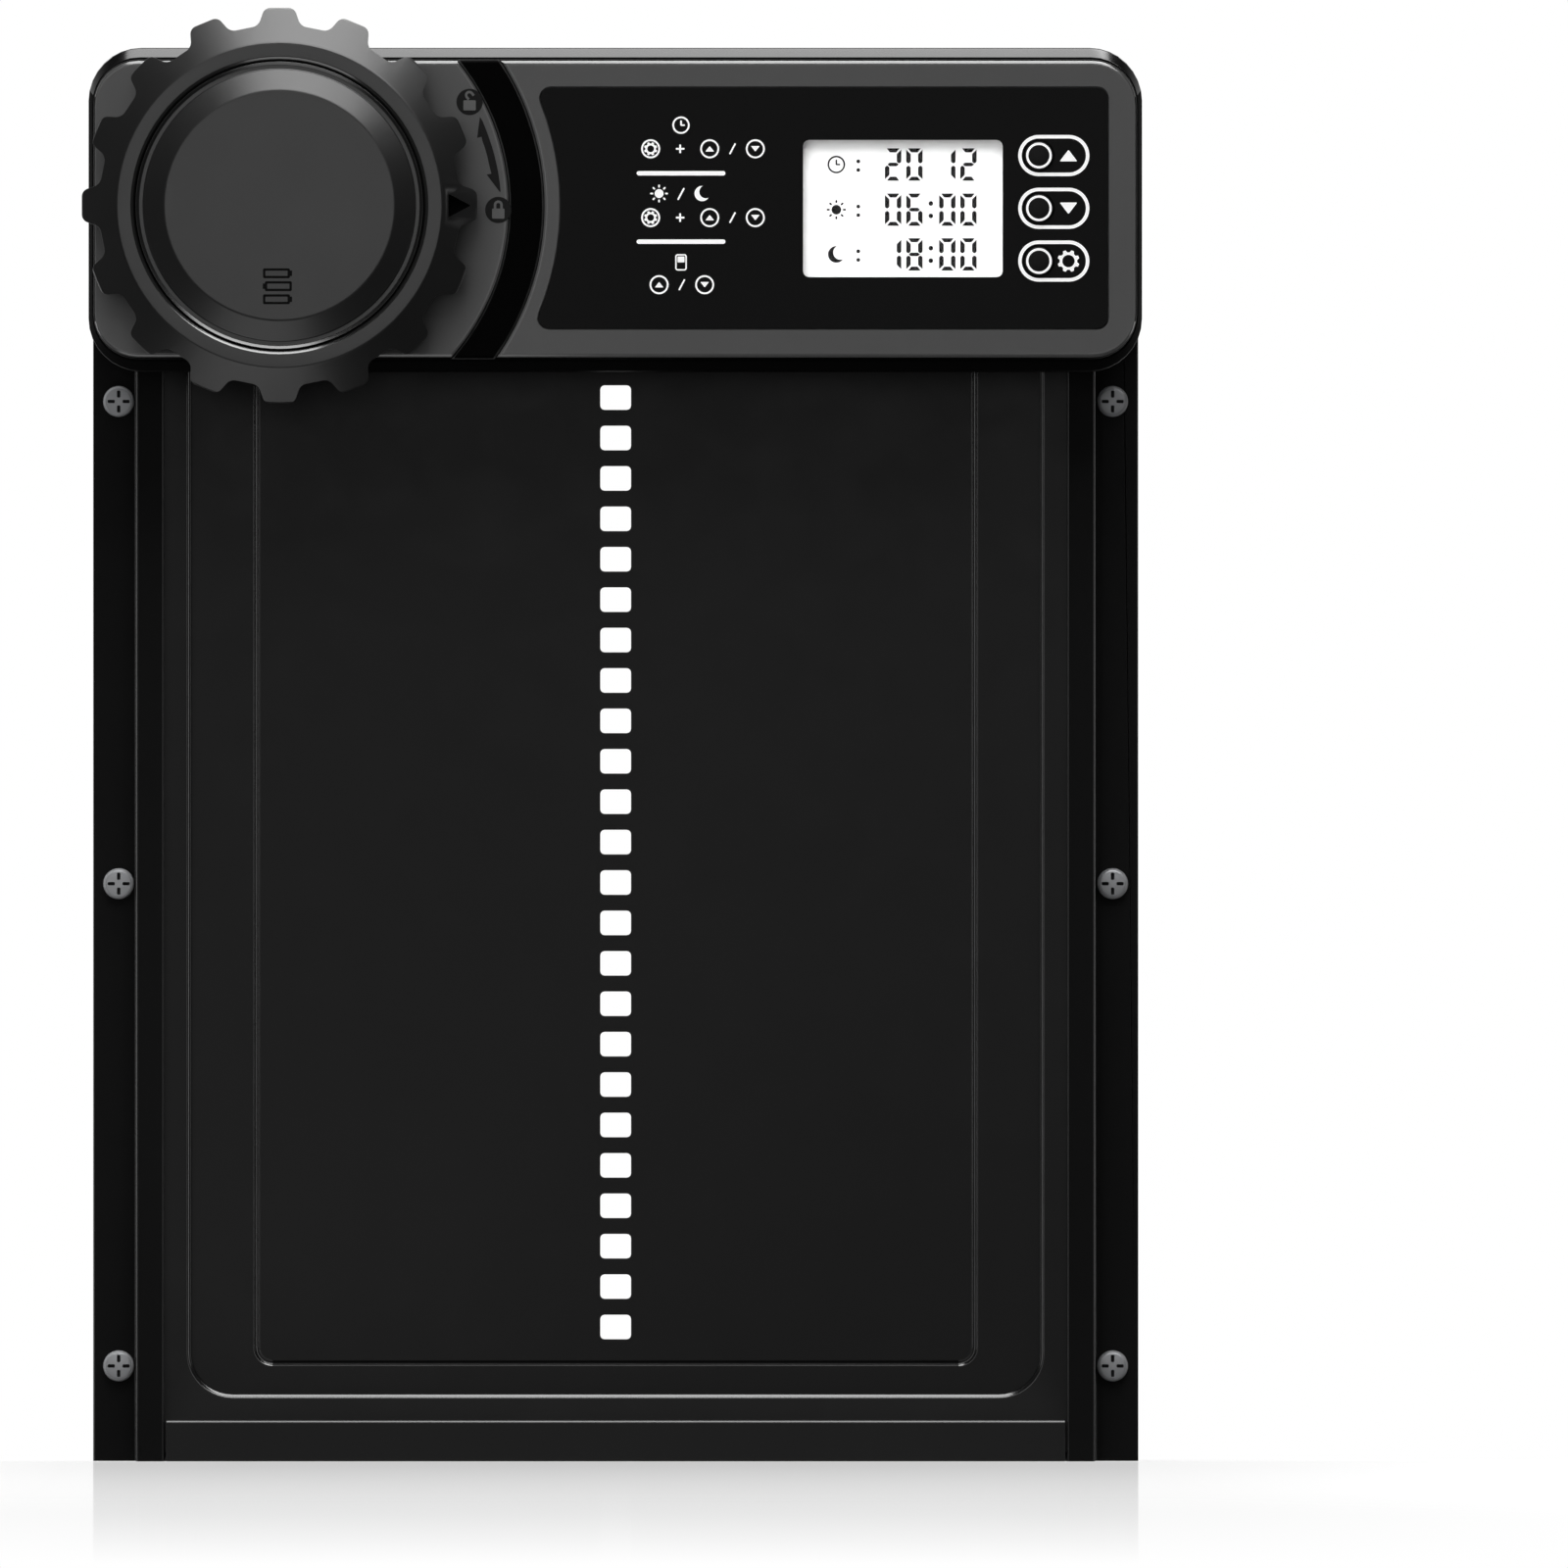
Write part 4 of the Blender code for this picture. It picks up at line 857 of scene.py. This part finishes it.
# %% The plate and its rolled edge
PLATE_FRONT, PLATE_BACK = -10.2, -9.0
HOLE_HALF, HOLE_HEIGHTS, HOLE_CORNER = 101.85, (14.95, 304.65), 10.85
ROLL_STEPS = (
    (0.2, 0.03), (0.2, 0.12), (0.14, 0.24), (0.22, 0.04), (0.14, 0.10), (0.12, 0.22), (0.03, 0.3),
)
PLATE_HALF, PLATE_HEIGHTS, PLATE_CORNER = 112.1, (2.1, 318), 0.6
plate = rectangle("opening_plate_sheet", about(0, HOLE_HALF), HOLE_HEIGHTS, PLATE_FRONT, HOLE_CORNER, 10)
everything("FACE")
for width, drop in ROLL_STEPS:
    inset(width, drop)
bpy.ops.mesh.delete(type="FACE")
bordered(plate, PLATE_HALF, PLATE_HEIGHTS, PLATE_FRONT, PLATE_CORNER, 10)
pick(plate, "EDGE", open_front(PLATE_FRONT))
back = {"value": (0, (PLATE_BACK - PLATE_FRONT) * MM, 0)}
bpy.ops.mesh.extrude_edges_move(TRANSFORM_OT_translate=back)
pick(plate, "EDGE", lambda c, e: len(e.link_faces) < 2)
bpy.ops.mesh.bridge_edge_loops()
smooth(close(plate), 50)
fit(plate, powder_sheet, "satin_black_steel", "opening_plate")
polish(plate, rolled_edge, bent)

# %% [markdown]
# ## The battery cap
# The batteries sit behind a big cap that a turn of thirty degrees locks. Its grip is a spun
# profile with sixteen lobes. They come from a circle whose corners are turned and pushed out in
# groups: pulled up into a column, it trims the body like a pastry cutter.

# %% The grip's turned body
CAP_STEPS = 96


def cap_body(name, points):
    """Spin (radius, distance in front of the cover's face) points about the cap's axis."""
    return turned(name, [(radius, FACE - front) for radius, front in points], CAP_X, CAP_Z, CAP_STEPS)


# The floor under the face disc and the channel's two bright slopes, up to the collar.
WELL = [
    (0, 9.0), (33.3, 9.0), (33.3, 10.56), (33.42, 10.6), (33.66, 10.74), (33.9, 10.88), (33.98, 10.91),
    (34.04, 10.87), (34.08, 10.4), (34.32, 10.36), (34.4, 10.42), (34.68, 10.62), (34.94, 10.81),
    (35.06, 10.89), (35.22, 10.97), (35.4, 11.0),
]
# The collar's rim, the cone and the lobes' undercut.
CONE = [
    (38.2, 11.0), (38.6, 10.92), (39.0, 10.7), (46.5, 6.6), (46.9, 6.1), (46.9, 4.8), (46.5, 4.4),
    (40.2, 3.4),
]
# The neck that enters the battery bay, with the groove of its seal.
NECK = [
    (39.0, 0.4), (31.2, 0.4), (31.2, -0.5), (30.3, -0.5), (30.3, -2.5), (31.2, -2.5), (31.2, -8.0),
    (27.4, -8.0), (27.4, 6.6), (0, 6.6),
]
grip = cap_body("cap_grip", WELL + CONE + NECK)

# %% The lobes
LOBES, VALLEY, TIP, LOBE_CORNER = 16, 42.8, 46.95, 1.3
STEP = 360 / LOBES
lobes = disc("lobe_trimmer", CAP_X, CAP_Z, FACE - 15, VALLEY, LOBES * 4)
centre = at(CAP_X, FACE - 15, CAP_Z)
turn(STEP / 8, centre)


def bearing(point, middle):
    return math.degrees(math.atan2(point.z - middle.z, point.x - middle.x))


def lobe_angle(point):
    """How far round a lobe a corner is: zero on the tip's middle, in degrees."""
    return (bearing(point, centre) + STEP / 2) % STEP - STEP / 2


# The feet of the lobes move first, then their tips: each group by the angle it lacks.
GROUPS = ((-12, -5, -8.44, -6.7), (5, 12, 8.44, 6.7), (-4, 0, -2.81, -4.3), (0, 4, 2.81, 4.3))
for low, high, now, to in GROUPS:
    pick(lobes, "VERT", lambda c, v: low < lobe_angle(c) < high)
    turn(to - now, centre)
pick(lobes, "VERT", lambda c, v: abs(lobe_angle(c)) < 5)
stretch(TIP / VALLEY, TIP / VALLEY, centre)
everything()
round_corners(LOBE_CORNER, 4)
everything()
deepen(40)
cut(grip, close(lobes), "INTERSECT")
round_edges(grip, 0.35, 3, 30)
print("grip faces:", len(grip.data.polygons))

# %% The engraved pointer and the bayonet grooves
POINTER = [(CAP_X + 40.1, CAP_Z - 2.77), (CAP_X + 45.3, CAP_Z), (CAP_X + 40.1, CAP_Z + 2.77)]
POINTER_FLOOR, ABOVE = FACE - 7.0, FACE - 12
pointer = outline("pointer_cutter", POINTER, ABOVE)
round_corners(0.25, 2)
everything()
deepen(POINTER_FLOOR - ABOVE)
cut(grip, close(pointer))
# Each groove is an L: a long turn inside, and a short one that opens it to the rear.
# The two cutters share no face, so the cut comes out the same each time.
LONG_TURN, WAY_IN, WIDE = (4.5, 7.7, 29.1, -33.2, 36.4), (6.1, 9.0, 29.0, -33.4, 6.6), 32.3
for stud_angle in (0, 180):
    for low, high, near, begin, sweep in (LONG_TURN, WAY_IN):
        shape = [(near, FACE + low), (WIDE, FACE + low), (WIDE, FACE + high), (near, FACE + high)]
        cut(grip, sector("groove_cutter", shape, CAP_X, CAP_Z, 8, stud_angle + begin, sweep))
smooth(grip, 30)
fit(grip, grip_abs, "charcoal_cover", "battery_cap", body="cap")

# %% Finishes of the pointer and of the channel round the face
def off_axis(point, axis):
    """How far a point (in metres) lies from an axis along y, in millimetres."""
    return math.hypot(point.x - axis.x, point.z - axis.z) / MM


# Each ring: its finish, its radii, how far in front of the cover, and how steep its faces are.
SLOPES, ALL = (-0.98, -0.5), (-1.1, 1.1)
RINGS = (
    (groove_slope, 34.33, 35.4, 10.3, SLOPES),
    (inner_slope, 33.3, 34.0, 10.5, SLOPES),
    # The channel's flat floor is painted deep black, as the shade deep in the channel.
    (deep_black_and_painted_shade, 34.04, 34.38, 10.3, ALL),
)


def in_ring(c, f):
    front_enough = c.y < (FACE - front) * MM
    return near < off_axis(c, centre) < wide and front_enough and steep[0] < f.normal.y < steep[1]


edge = at(CAP_X + 39, 0, 0).x
polish(grip, deep_black_and_painted_shade, lambda c, f: abs(c.y - POINTER_FLOOR * MM) < 0.01 * MM and c.x > edge)
for finish, near, wide, front, steep in RINGS:
    polish(grip, finish, in_ring)

# %% The cap's face disc
CAP_TOP = 13.35
DISC = [
    (0, 9.0), (33.0, 9.0), (33.25, 9.3), (33.28, 9.6), (33.28, 10.5), (33.22, 10.56), (32.4, 10.56),
    (32.3, 10.62), (32.25, 11.22), (32.15, 11.35), (27.65, 13.18), (27.3, 13.31), (26.9, CAP_TOP),
    (0, CAP_TOP),
]
cap_face = smooth(cap_body("cap_face", DISC), 25)
modify(cap_face, "WEIGHTED_NORMAL", keep_sharp=True)
fit(cap_face, grip_abs, "charcoal_cover", "cap_disc", body="cap")

# %% [markdown]
# ## The buttons
# Three round caps stand a little proud of the label, each with a printed ring on top. One is
# turned and copied twice.

# %% Button caps
BUTTON_X, BUTTON_TOP_Y = 100.4, -51.1
BUTTON_HEIGHT = {"up": 309.8, "down": 297.3, "set": 284.8}
BUTTON_PROFILE = [
    (0, BUTTON_TOP_Y), (2.9, BUTTON_TOP_Y), (3.15, -51.04), (3.33, -50.86), (3.4, -50.6),
    (3.4, -47.8), (4.3, -47.8), (4.3, -46.8), (1.6, -46.8), (1.6, -46.2), (0, -46.2),
]
first_cap = turned("button_cap_down", BUTTON_PROFILE, BUTTON_X, BUTTON_HEIGHT["down"], 48)
buttons = {"down": smooth(first_cap, 35)}
for name in ("up", "set"):
    rise = BUTTON_HEIGHT[name] - BUTTON_HEIGHT["down"]
    buttons[name] = copied(first_cap, f"button_cap_{name}", height=rise)
for name, button in buttons.items():
    fit(button, button_abs, "gloss_black_panel", f"button_{name}", body=f"button_{name}_key")

# %% [markdown]
# ## The wall screws
# Six screws hold the rails to the coop. The head is a turned profile, and four short wedges cut
# the arms of the driver's recess round a solid middle.

# %% One screw
SCREW_X, SCREW_HEIGHTS = 118.1, (22.6, 137.2, 251.8)
ARM_ENDS, ARM_HALF, ARM_START, ARM_DEPTH = (0.85, 2.7), 0.46, -5.0, 1.5
HEAD = [
    (0, -4.46), (2.8, -4.44), (3.15, -4.36), (3.45, -4.14), (3.64, -3.8), (3.7, -3.4), (3.7, -2.45),
    (3.55, -2.3),
]
THREAD = [point for turn_y in range(11) for point in ((1.55, turn_y - 0.6), (1.9, turn_y - 0.1))]
SHANK = [(1.9, -2.3), (1.9, -1.0)] + THREAD + [(1.5, 11.2), (0, 14.0)]
low = SCREW_HEIGHTS[0]
screw = turned("wall_screw_body", HEAD + SHANK, SCREW_X, low, 32)
for quarter in (0, 90, 180, 270):
    ends = (SCREW_X + ARM_ENDS[0], SCREW_X + ARM_ENDS[1])
    arm = rectangle("recess_cutter", ends, about(low, ARM_HALF), ARM_START, 0.3, 3)
    everything("FACE")
    deepen(ARM_DEPTH)
    stretch(0.8, 0.7, at(SCREW_X + 1.7, ARM_START, low))
    everything()
    turn(quarter, at(SCREW_X, ARM_START, low))
    cut(screw, close(arm))
smooth(screw, 32)

# %% Its five copies, each with a rim painted pale as a highlight and a recess painted dark as shade
RIM_RADIUS, RECESS_RADIUS, HEAD_FRONT, HEAD_BACK = 3.1, 2.9, -4.4 * MM, -3.3 * MM
spots = [(side, height) for side in (1, -1) for height in SCREW_HEIGHTS]
screws = [screw]
for side, height in spots[1:]:
    screws.append(copied(screw, "wall_screw_body", (side - 1) * SCREW_X, 0, height - low))
for number, made, (side, height) in zip((4, 5, 6, 1, 2, 3), screws, spots):
    made.name = made.data.name = f"wall_screw_body_{number}"
    fit(made, black_steel, "black_screws", f"wall_screw_{number}")
    axis = at(side * SCREW_X, 0, height)
    polish(made, rim_highlight_steel, lambda c, f: off_axis(c, axis) > RIM_RADIUS and c.y < HEAD_BACK)
    deep = lambda c, f: off_axis(c, axis) < RECESS_RADIUS and HEAD_FRONT < c.y < HEAD_BACK
    polish(made, recess_shade_steel, deep)

# %% [markdown]
# ## Printed marks
# The marks are screen printed: flat faces with a few hundredths of a millimetre of thickness.
# Instead of words there are small general symbols: a clock, a sun, a moon, a door.

# %% Printing a flat shape
PRINT = 0.05
LABEL_Y = -50.2


def printed(piece):
    """Give an open flat piece its ink thickness."""
    everything("FACE")
    deepen(-PRINT)
    return close(piece)


def ring(name, x, height, y, outer, inner, sides=64):
    piece = disc(name, x, height, y, outer, sides)
    hollow(outer - inner)
    return piece


def frame_line(name, x, height, y, radius, steps, line):
    piece = rectangle(name, x, height, y, radius, steps)
    hollow(line)
    return printed(piece)


def arrowhead(x, height, half, tall, up=1):
    piece = disc("arrowhead", x, height, LABEL_Y, 1, 3)
    middle = at(x, LABEL_Y, height)
    turn(0 if up > 0 else 180, middle)
    # A triangle in a circle of radius 1 is 1.5 tall, and 0.866 wide on either side.
    stretch(half / 0.866, tall / 1.5, middle)
    round_corners(0.14 * half, 3)
    # The middle of its height goes to the mark's place.
    everything()
    shift(height=-up * tall / 6)
    return printed(piece)


# %% Gear symbol
GEAR_ROOT = 0.79


def gear(x, height, size, hole_share=0.56):
    """A printed gear: a ring whose rim corners are pushed out in pairs."""
    rim = disc("gear", x, height, LABEL_Y, size * GEAR_ROOT, 48, "NOTHING")
    middle = at(x, LABEL_Y, height)
    pick(rim, "VERT", lambda c, v: abs(bearing(c, middle) % 45 - 22.5) < 8)
    stretch(1 / GEAR_ROOT, 1 / GEAR_ROOT, middle)
    leave()
    hole = disc("gear_hole", x, height, LABEL_Y, size * hole_share, 48, "NOTHING")
    leave()
    rim = joined([rim, hole], "gear")
    enter()
    everything()
    bpy.ops.mesh.bridge_edge_loops()
    return printed(rim)


# %% Button frames and their symbols
SYMBOL_X = 107.4
marks = []
for name, height in BUTTON_HEIGHT.items():
    tall = about(height, 4.87)
    marks.append(frame_line("button_frame", (95.5, 112.35), tall, LABEL_Y, 4.86, 16, 0.82))
    # The ring is sunk into the cap's top and stands hardly proud of it.
    cap_ring = printed(ring(f"button_ring_{name}", BUTTON_X, height, BUTTON_TOP_Y + 0.045, 3.05, 2.5))
    fit(cap_ring, white_ink, "gloss_black_panel", body=f"button_{name}_key")
marks.append(arrowhead(SYMBOL_X, BUTTON_HEIGHT["up"], 2.1, 2.75))
marks.append(arrowhead(SYMBOL_X, BUTTON_HEIGHT["down"], 2.1, 2.75, -1))
marks.append(gear(SYMBOL_X, BUTTON_HEIGHT["set"], 2.62))
print("button marks:", len(marks))

# %% Roundels and bars of the legend
LEGEND = {
    311.4: {8.4: "set", 22.4: "up", 33.2: "down"},
    295.1: {8.4: "set", 22.4: "up", 33.2: "down"},
    279.2: {10.4: "up", 21.2: "down"},
}
for height, symbols in LEGEND.items():
    for x, kind in symbols.items():
        marks.append(printed(ring("roundel", x, height, LABEL_Y, 2.25, 1.83)))
        if kind == "set":
            marks.append(gear(x, height, 1.6, 0.5))
        else:
            marks.append(arrowhead(x, height, 1.05, 1.3, 1 if kind == "up" else -1))
for height in (305.6, 289.4):
    marks.append(printed(rectangle("legend_bar", (5.1, 26.1), about(height, 0.52), LABEL_Y, 0.51)))


# %% General symbols in place of the words
def stroke(x, height, length, thick, tilt=0.0, y=LABEL_Y):
    bar = rectangle("stroke", about(x, length / 2), about(height, thick / 2), y, thick * 0.49, 4)
    everything()
    turn(tilt, at(x, y, height))
    return printed(bar)


def clock(x, height, radius, y=LABEL_Y):
    dial = printed(ring("clock", x, height, y, radius, radius * 0.8))
    hour = stroke(x, height + radius * 0.25, radius * 0.62, radius * 0.19, 90, y)
    return [dial, hour, stroke(x + radius * 0.2, height, radius * 0.5, radius * 0.19, 0, y)]


def sun(x, height, radius, y=LABEL_Y):
    made = [printed(disc("sun", x, height, y, radius * 0.5, 32))]
    for tilt in range(0, 360, 45):
        over, rise = (radius * 0.84 * part(math.radians(tilt)) for part in (math.cos, math.sin))
        made.append(stroke(x + over, height + rise, radius * 0.34, radius * 0.2, tilt, y))
    return made


def moon(x, height, radius, y=LABEL_Y):
    whole = printed(disc("moon", x, height, y, radius * 0.86, 40))
    bite = disc("moon_bite", x + radius * 0.42, height + radius * 0.2, y - 1, radius * 0.74, 40)
    deepen(2)
    return [cut(whole, close(bite))]


def door_sign(x, height, half):
    """A doorway with a sheet half raised."""
    heights = about(height, half)
    arch = frame_line("doorway", about(x, half * 0.7), heights, LABEL_Y, half * 0.3, 4, half * 0.17)
    lifted = (height, height + half * 0.72)
    return [arch, printed(rectangle("raised_sheet", about(x, half * 0.42), lifted, LABEL_Y, 0.1, 2))]


marks += clock(15.6, 317.0, 2.05)
marks += sun(10.4, 300.8, 2.1) + [stroke(15.6, 300.7, 3.2, 0.42, 62)] + moon(20.6, 300.8, 2.1)
marks += door_sign(15.6, 284.5, 1.95)
for height in (311.4, 295.1):
    marks += [stroke(15.4, height, 2.1, 0.44), stroke(15.4, height, 2.1, 0.44, 90)]
    marks.append(stroke(27.8, height, 2.9, 0.4, 62))
marks.append(stroke(15.8, 279.2, 2.9, 0.4, 62))
fit(joined(marks, "legend_ink"), white_ink, "gloss_black_panel")

# %% [markdown]
# ## Lock marks on the cover
# Two dark discs with grey padlocks say which way the cap turns, and a curved arrow joins them.
# A shackle is half a ring with its ends pulled down.

# %% Padlocks
GREY_Y = FACE - PRINT


def shackle(x, height, leg, tilt):
    bow = ring("shackle", x, height, GREY_Y, 1.06, 0.47, 32)
    middle = at(x, GREY_Y, height)
    everything()
    bpy.ops.mesh.bisect(plane_co=middle, plane_no=(0, 0, 1), clear_inner=True)
    pick(bow, "EDGE", lambda c, e: len(e.link_faces) < 2 and abs(c.z - middle.z) < 1e-6)
    bpy.ops.mesh.extrude_edges_move(TRANSFORM_OT_translate={"value": (0, 0, -leg * MM)})
    everything()
    turn(tilt, middle)
    return printed(bow)


# Each padlock: its place, its body's foot below that, and its shackle's offset, legs and tilt.
PADLOCKS = {
    "open": (-34.5, 322.5, 2.0, (-0.05, 1.6, 0.72, 38)),
    "closed": (-27.7, 296.9, 2.05, (0, 1.2, 0.95, 0)),
}
grey_marks, dark_marks = [], []
for name, (x, height, foot, (over, rise, leg, tilt)) in PADLOCKS.items():
    dark_marks.append(printed(disc(name + "_disc", x, height, FACE, 3.12)))
    heights = (height - foot, height - foot + 2.4)
    grey_marks.append(printed(rectangle(name + "_body", about(x, 1.47), heights, GREY_Y, 0.25, 3)))
    grey_marks.append(shackle(x + over, height + rise, leg, tilt))

# %% The arrow between them
OUTER_LINE = [
    (-32.04, 319.0), (-31.34, 317.83), (-30.43, 315.5), (-29.62, 313.18), (-29.22, 312.02),
    (-28.57, 309.7), (-28.04, 307.37), (-27.67, 305.5), (-27.34, 303.18), (-27.16, 301.3),
    (-27.32, 301.13),
]
INNER_LINE = [
    (-30.45, 305.3), (-29.34, 305.5), (-29.81, 307.37), (-30.32, 309.7), (-31.0, 312.02),
    (-31.43, 313.18), (-31.66, 314.25), (-32.72, 313.98),
]
dark_marks.append(printed(outline("turn_arrow", OUTER_LINE + INNER_LINE, FACE)))
fit(joined(grey_marks, "padlock_ink"), grey_ink, "charcoal_cover")
fit(joined(dark_marks, "lock_sign_ink"), dark_ink, "charcoal_cover")

# %% [markdown]
# ## The battery mark on the cap
# Three cells lie side by side behind the cap: each is a thin outline with a little nub.

# %% Three outlined cells
CELL_Y, CELL_X = FACE - CAP_TOP, CAP_X - 0.65
cell_marks = []
for height, aside, nub_side in ((281.8, 0.0, 1), (278.75, 0.45, -1), (275.65, 0.0, 1)):
    x = CELL_X + aside
    cell_marks.append(frame_line("cell_line", about(x, 3.2), about(height, 1.18), CELL_Y, 0.35, 3, 0.58))
    ends = sorted((x + nub_side * 3.15, x + nub_side * 3.7))
    cell_marks.append(printed(rectangle("cell_nub", ends, about(height, 0.65), CELL_Y)))
fit(joined(cell_marks, "cell_ink"), black_ink, "charcoal_cover", body="cap")

# %% [markdown]
# ## The display
# Behind the window lies a pale reflector with dark segments for the date and the two times.
# Three outlines, mirrored, make the seven bars of a digit, each copied to where it is lit.

# %% The reflector
SCREEN_Y = -47.35
screen = rectangle("lcd_face", (44.75, 91.55), (281.25, 313.25), SCREEN_Y, 1.0, 4)
everything("FACE")
deepen(0.25)
fit(close(screen), lcd_white, "lcd_panel")

# %% Seven bars make a digit
ACROSS = [(-1.5, 3.84), (1.5, 3.84), (0.74, 2.88), (-0.74, 2.88)]
UPRIGHT = [(1.95, 3.52), (1.95, 0.66), (1.58, 0.3), (1.28, 0.3), (0.87, 0.66), (0.87, 2.46)]
MIDDLE = [(-1.36, 0.02), (-0.8, 0.46), (0.8, 0.46), (1.36, 0.02), (0.85, -0.42), (-0.85, -0.42)]
BARS = {
    "a": (ACROSS, 1, 1), "d": (ACROSS, 1, -1), "g": (MIDDLE, 1, 1), "b": (UPRIGHT, 1, 1),
    "c": (UPRIGHT, 1, -1), "f": (UPRIGHT, -1, 1), "e": (UPRIGHT, -1, -1),
}
LIT = {"0": "abcdef", "1": "bc", "2": "abged", "6": "afgedc", "8": "abcdefg"}
ROWS = {307.7: "20 12", 297.0: "06:00", 286.4: "18:00"}
COLUMNS, SIGN_X, DOTS_X = (65.85, 70.9, 74.8, 78.7, 83.7), 52.4, 57.6


def dot(x, height, radius, sides):
    return printed(disc("dot", x, height, SCREEN_Y, radius, sides))


bars = {}
for letter, (corners, over, up) in BARS.items():
    bars[letter] = printed(outline(f"bar_{letter}", [(x * over, z * up) for x, z in corners], SCREEN_Y))
lit_bars = []
for height, text in ROWS.items():
    for sign, x in zip(text, COLUMNS):
        if sign == ":":
            lit_bars += [dot(x, height + rise, 0.56, 20) for rise in (-1.48, 1.48)]
        lit_bars += [copied(bars[letter], "lit", x, 0, height) for letter in LIT.get(sign, "")]
    lit_bars += [dot(DOTS_X, height + rise, 0.46, 16) for rise in (-1.3, 0.75)]
for symbol, height, radius in ((clock, 307.7, 2.1), (sun, 297.0, 2.3), (moon, 286.4, 2.3)):
    lit_bars += symbol(SIGN_X, height, radius, SCREEN_Y)
fit(joined(lit_bars, "lcd_segments"), segment_ink, "lcd_panel")
for pattern in bars.values():
    bpy.data.objects.remove(pattern)

# %% [markdown]
# ## The sizes
# The box of the dressed door is printed beside that of the imported one, inside which it should stay.

# %% Sizes
dressed_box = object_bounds()
for box in (cad_box, dressed_box):
    print("box", [[round(v / MM, 2) for v in corner] for corner in box])
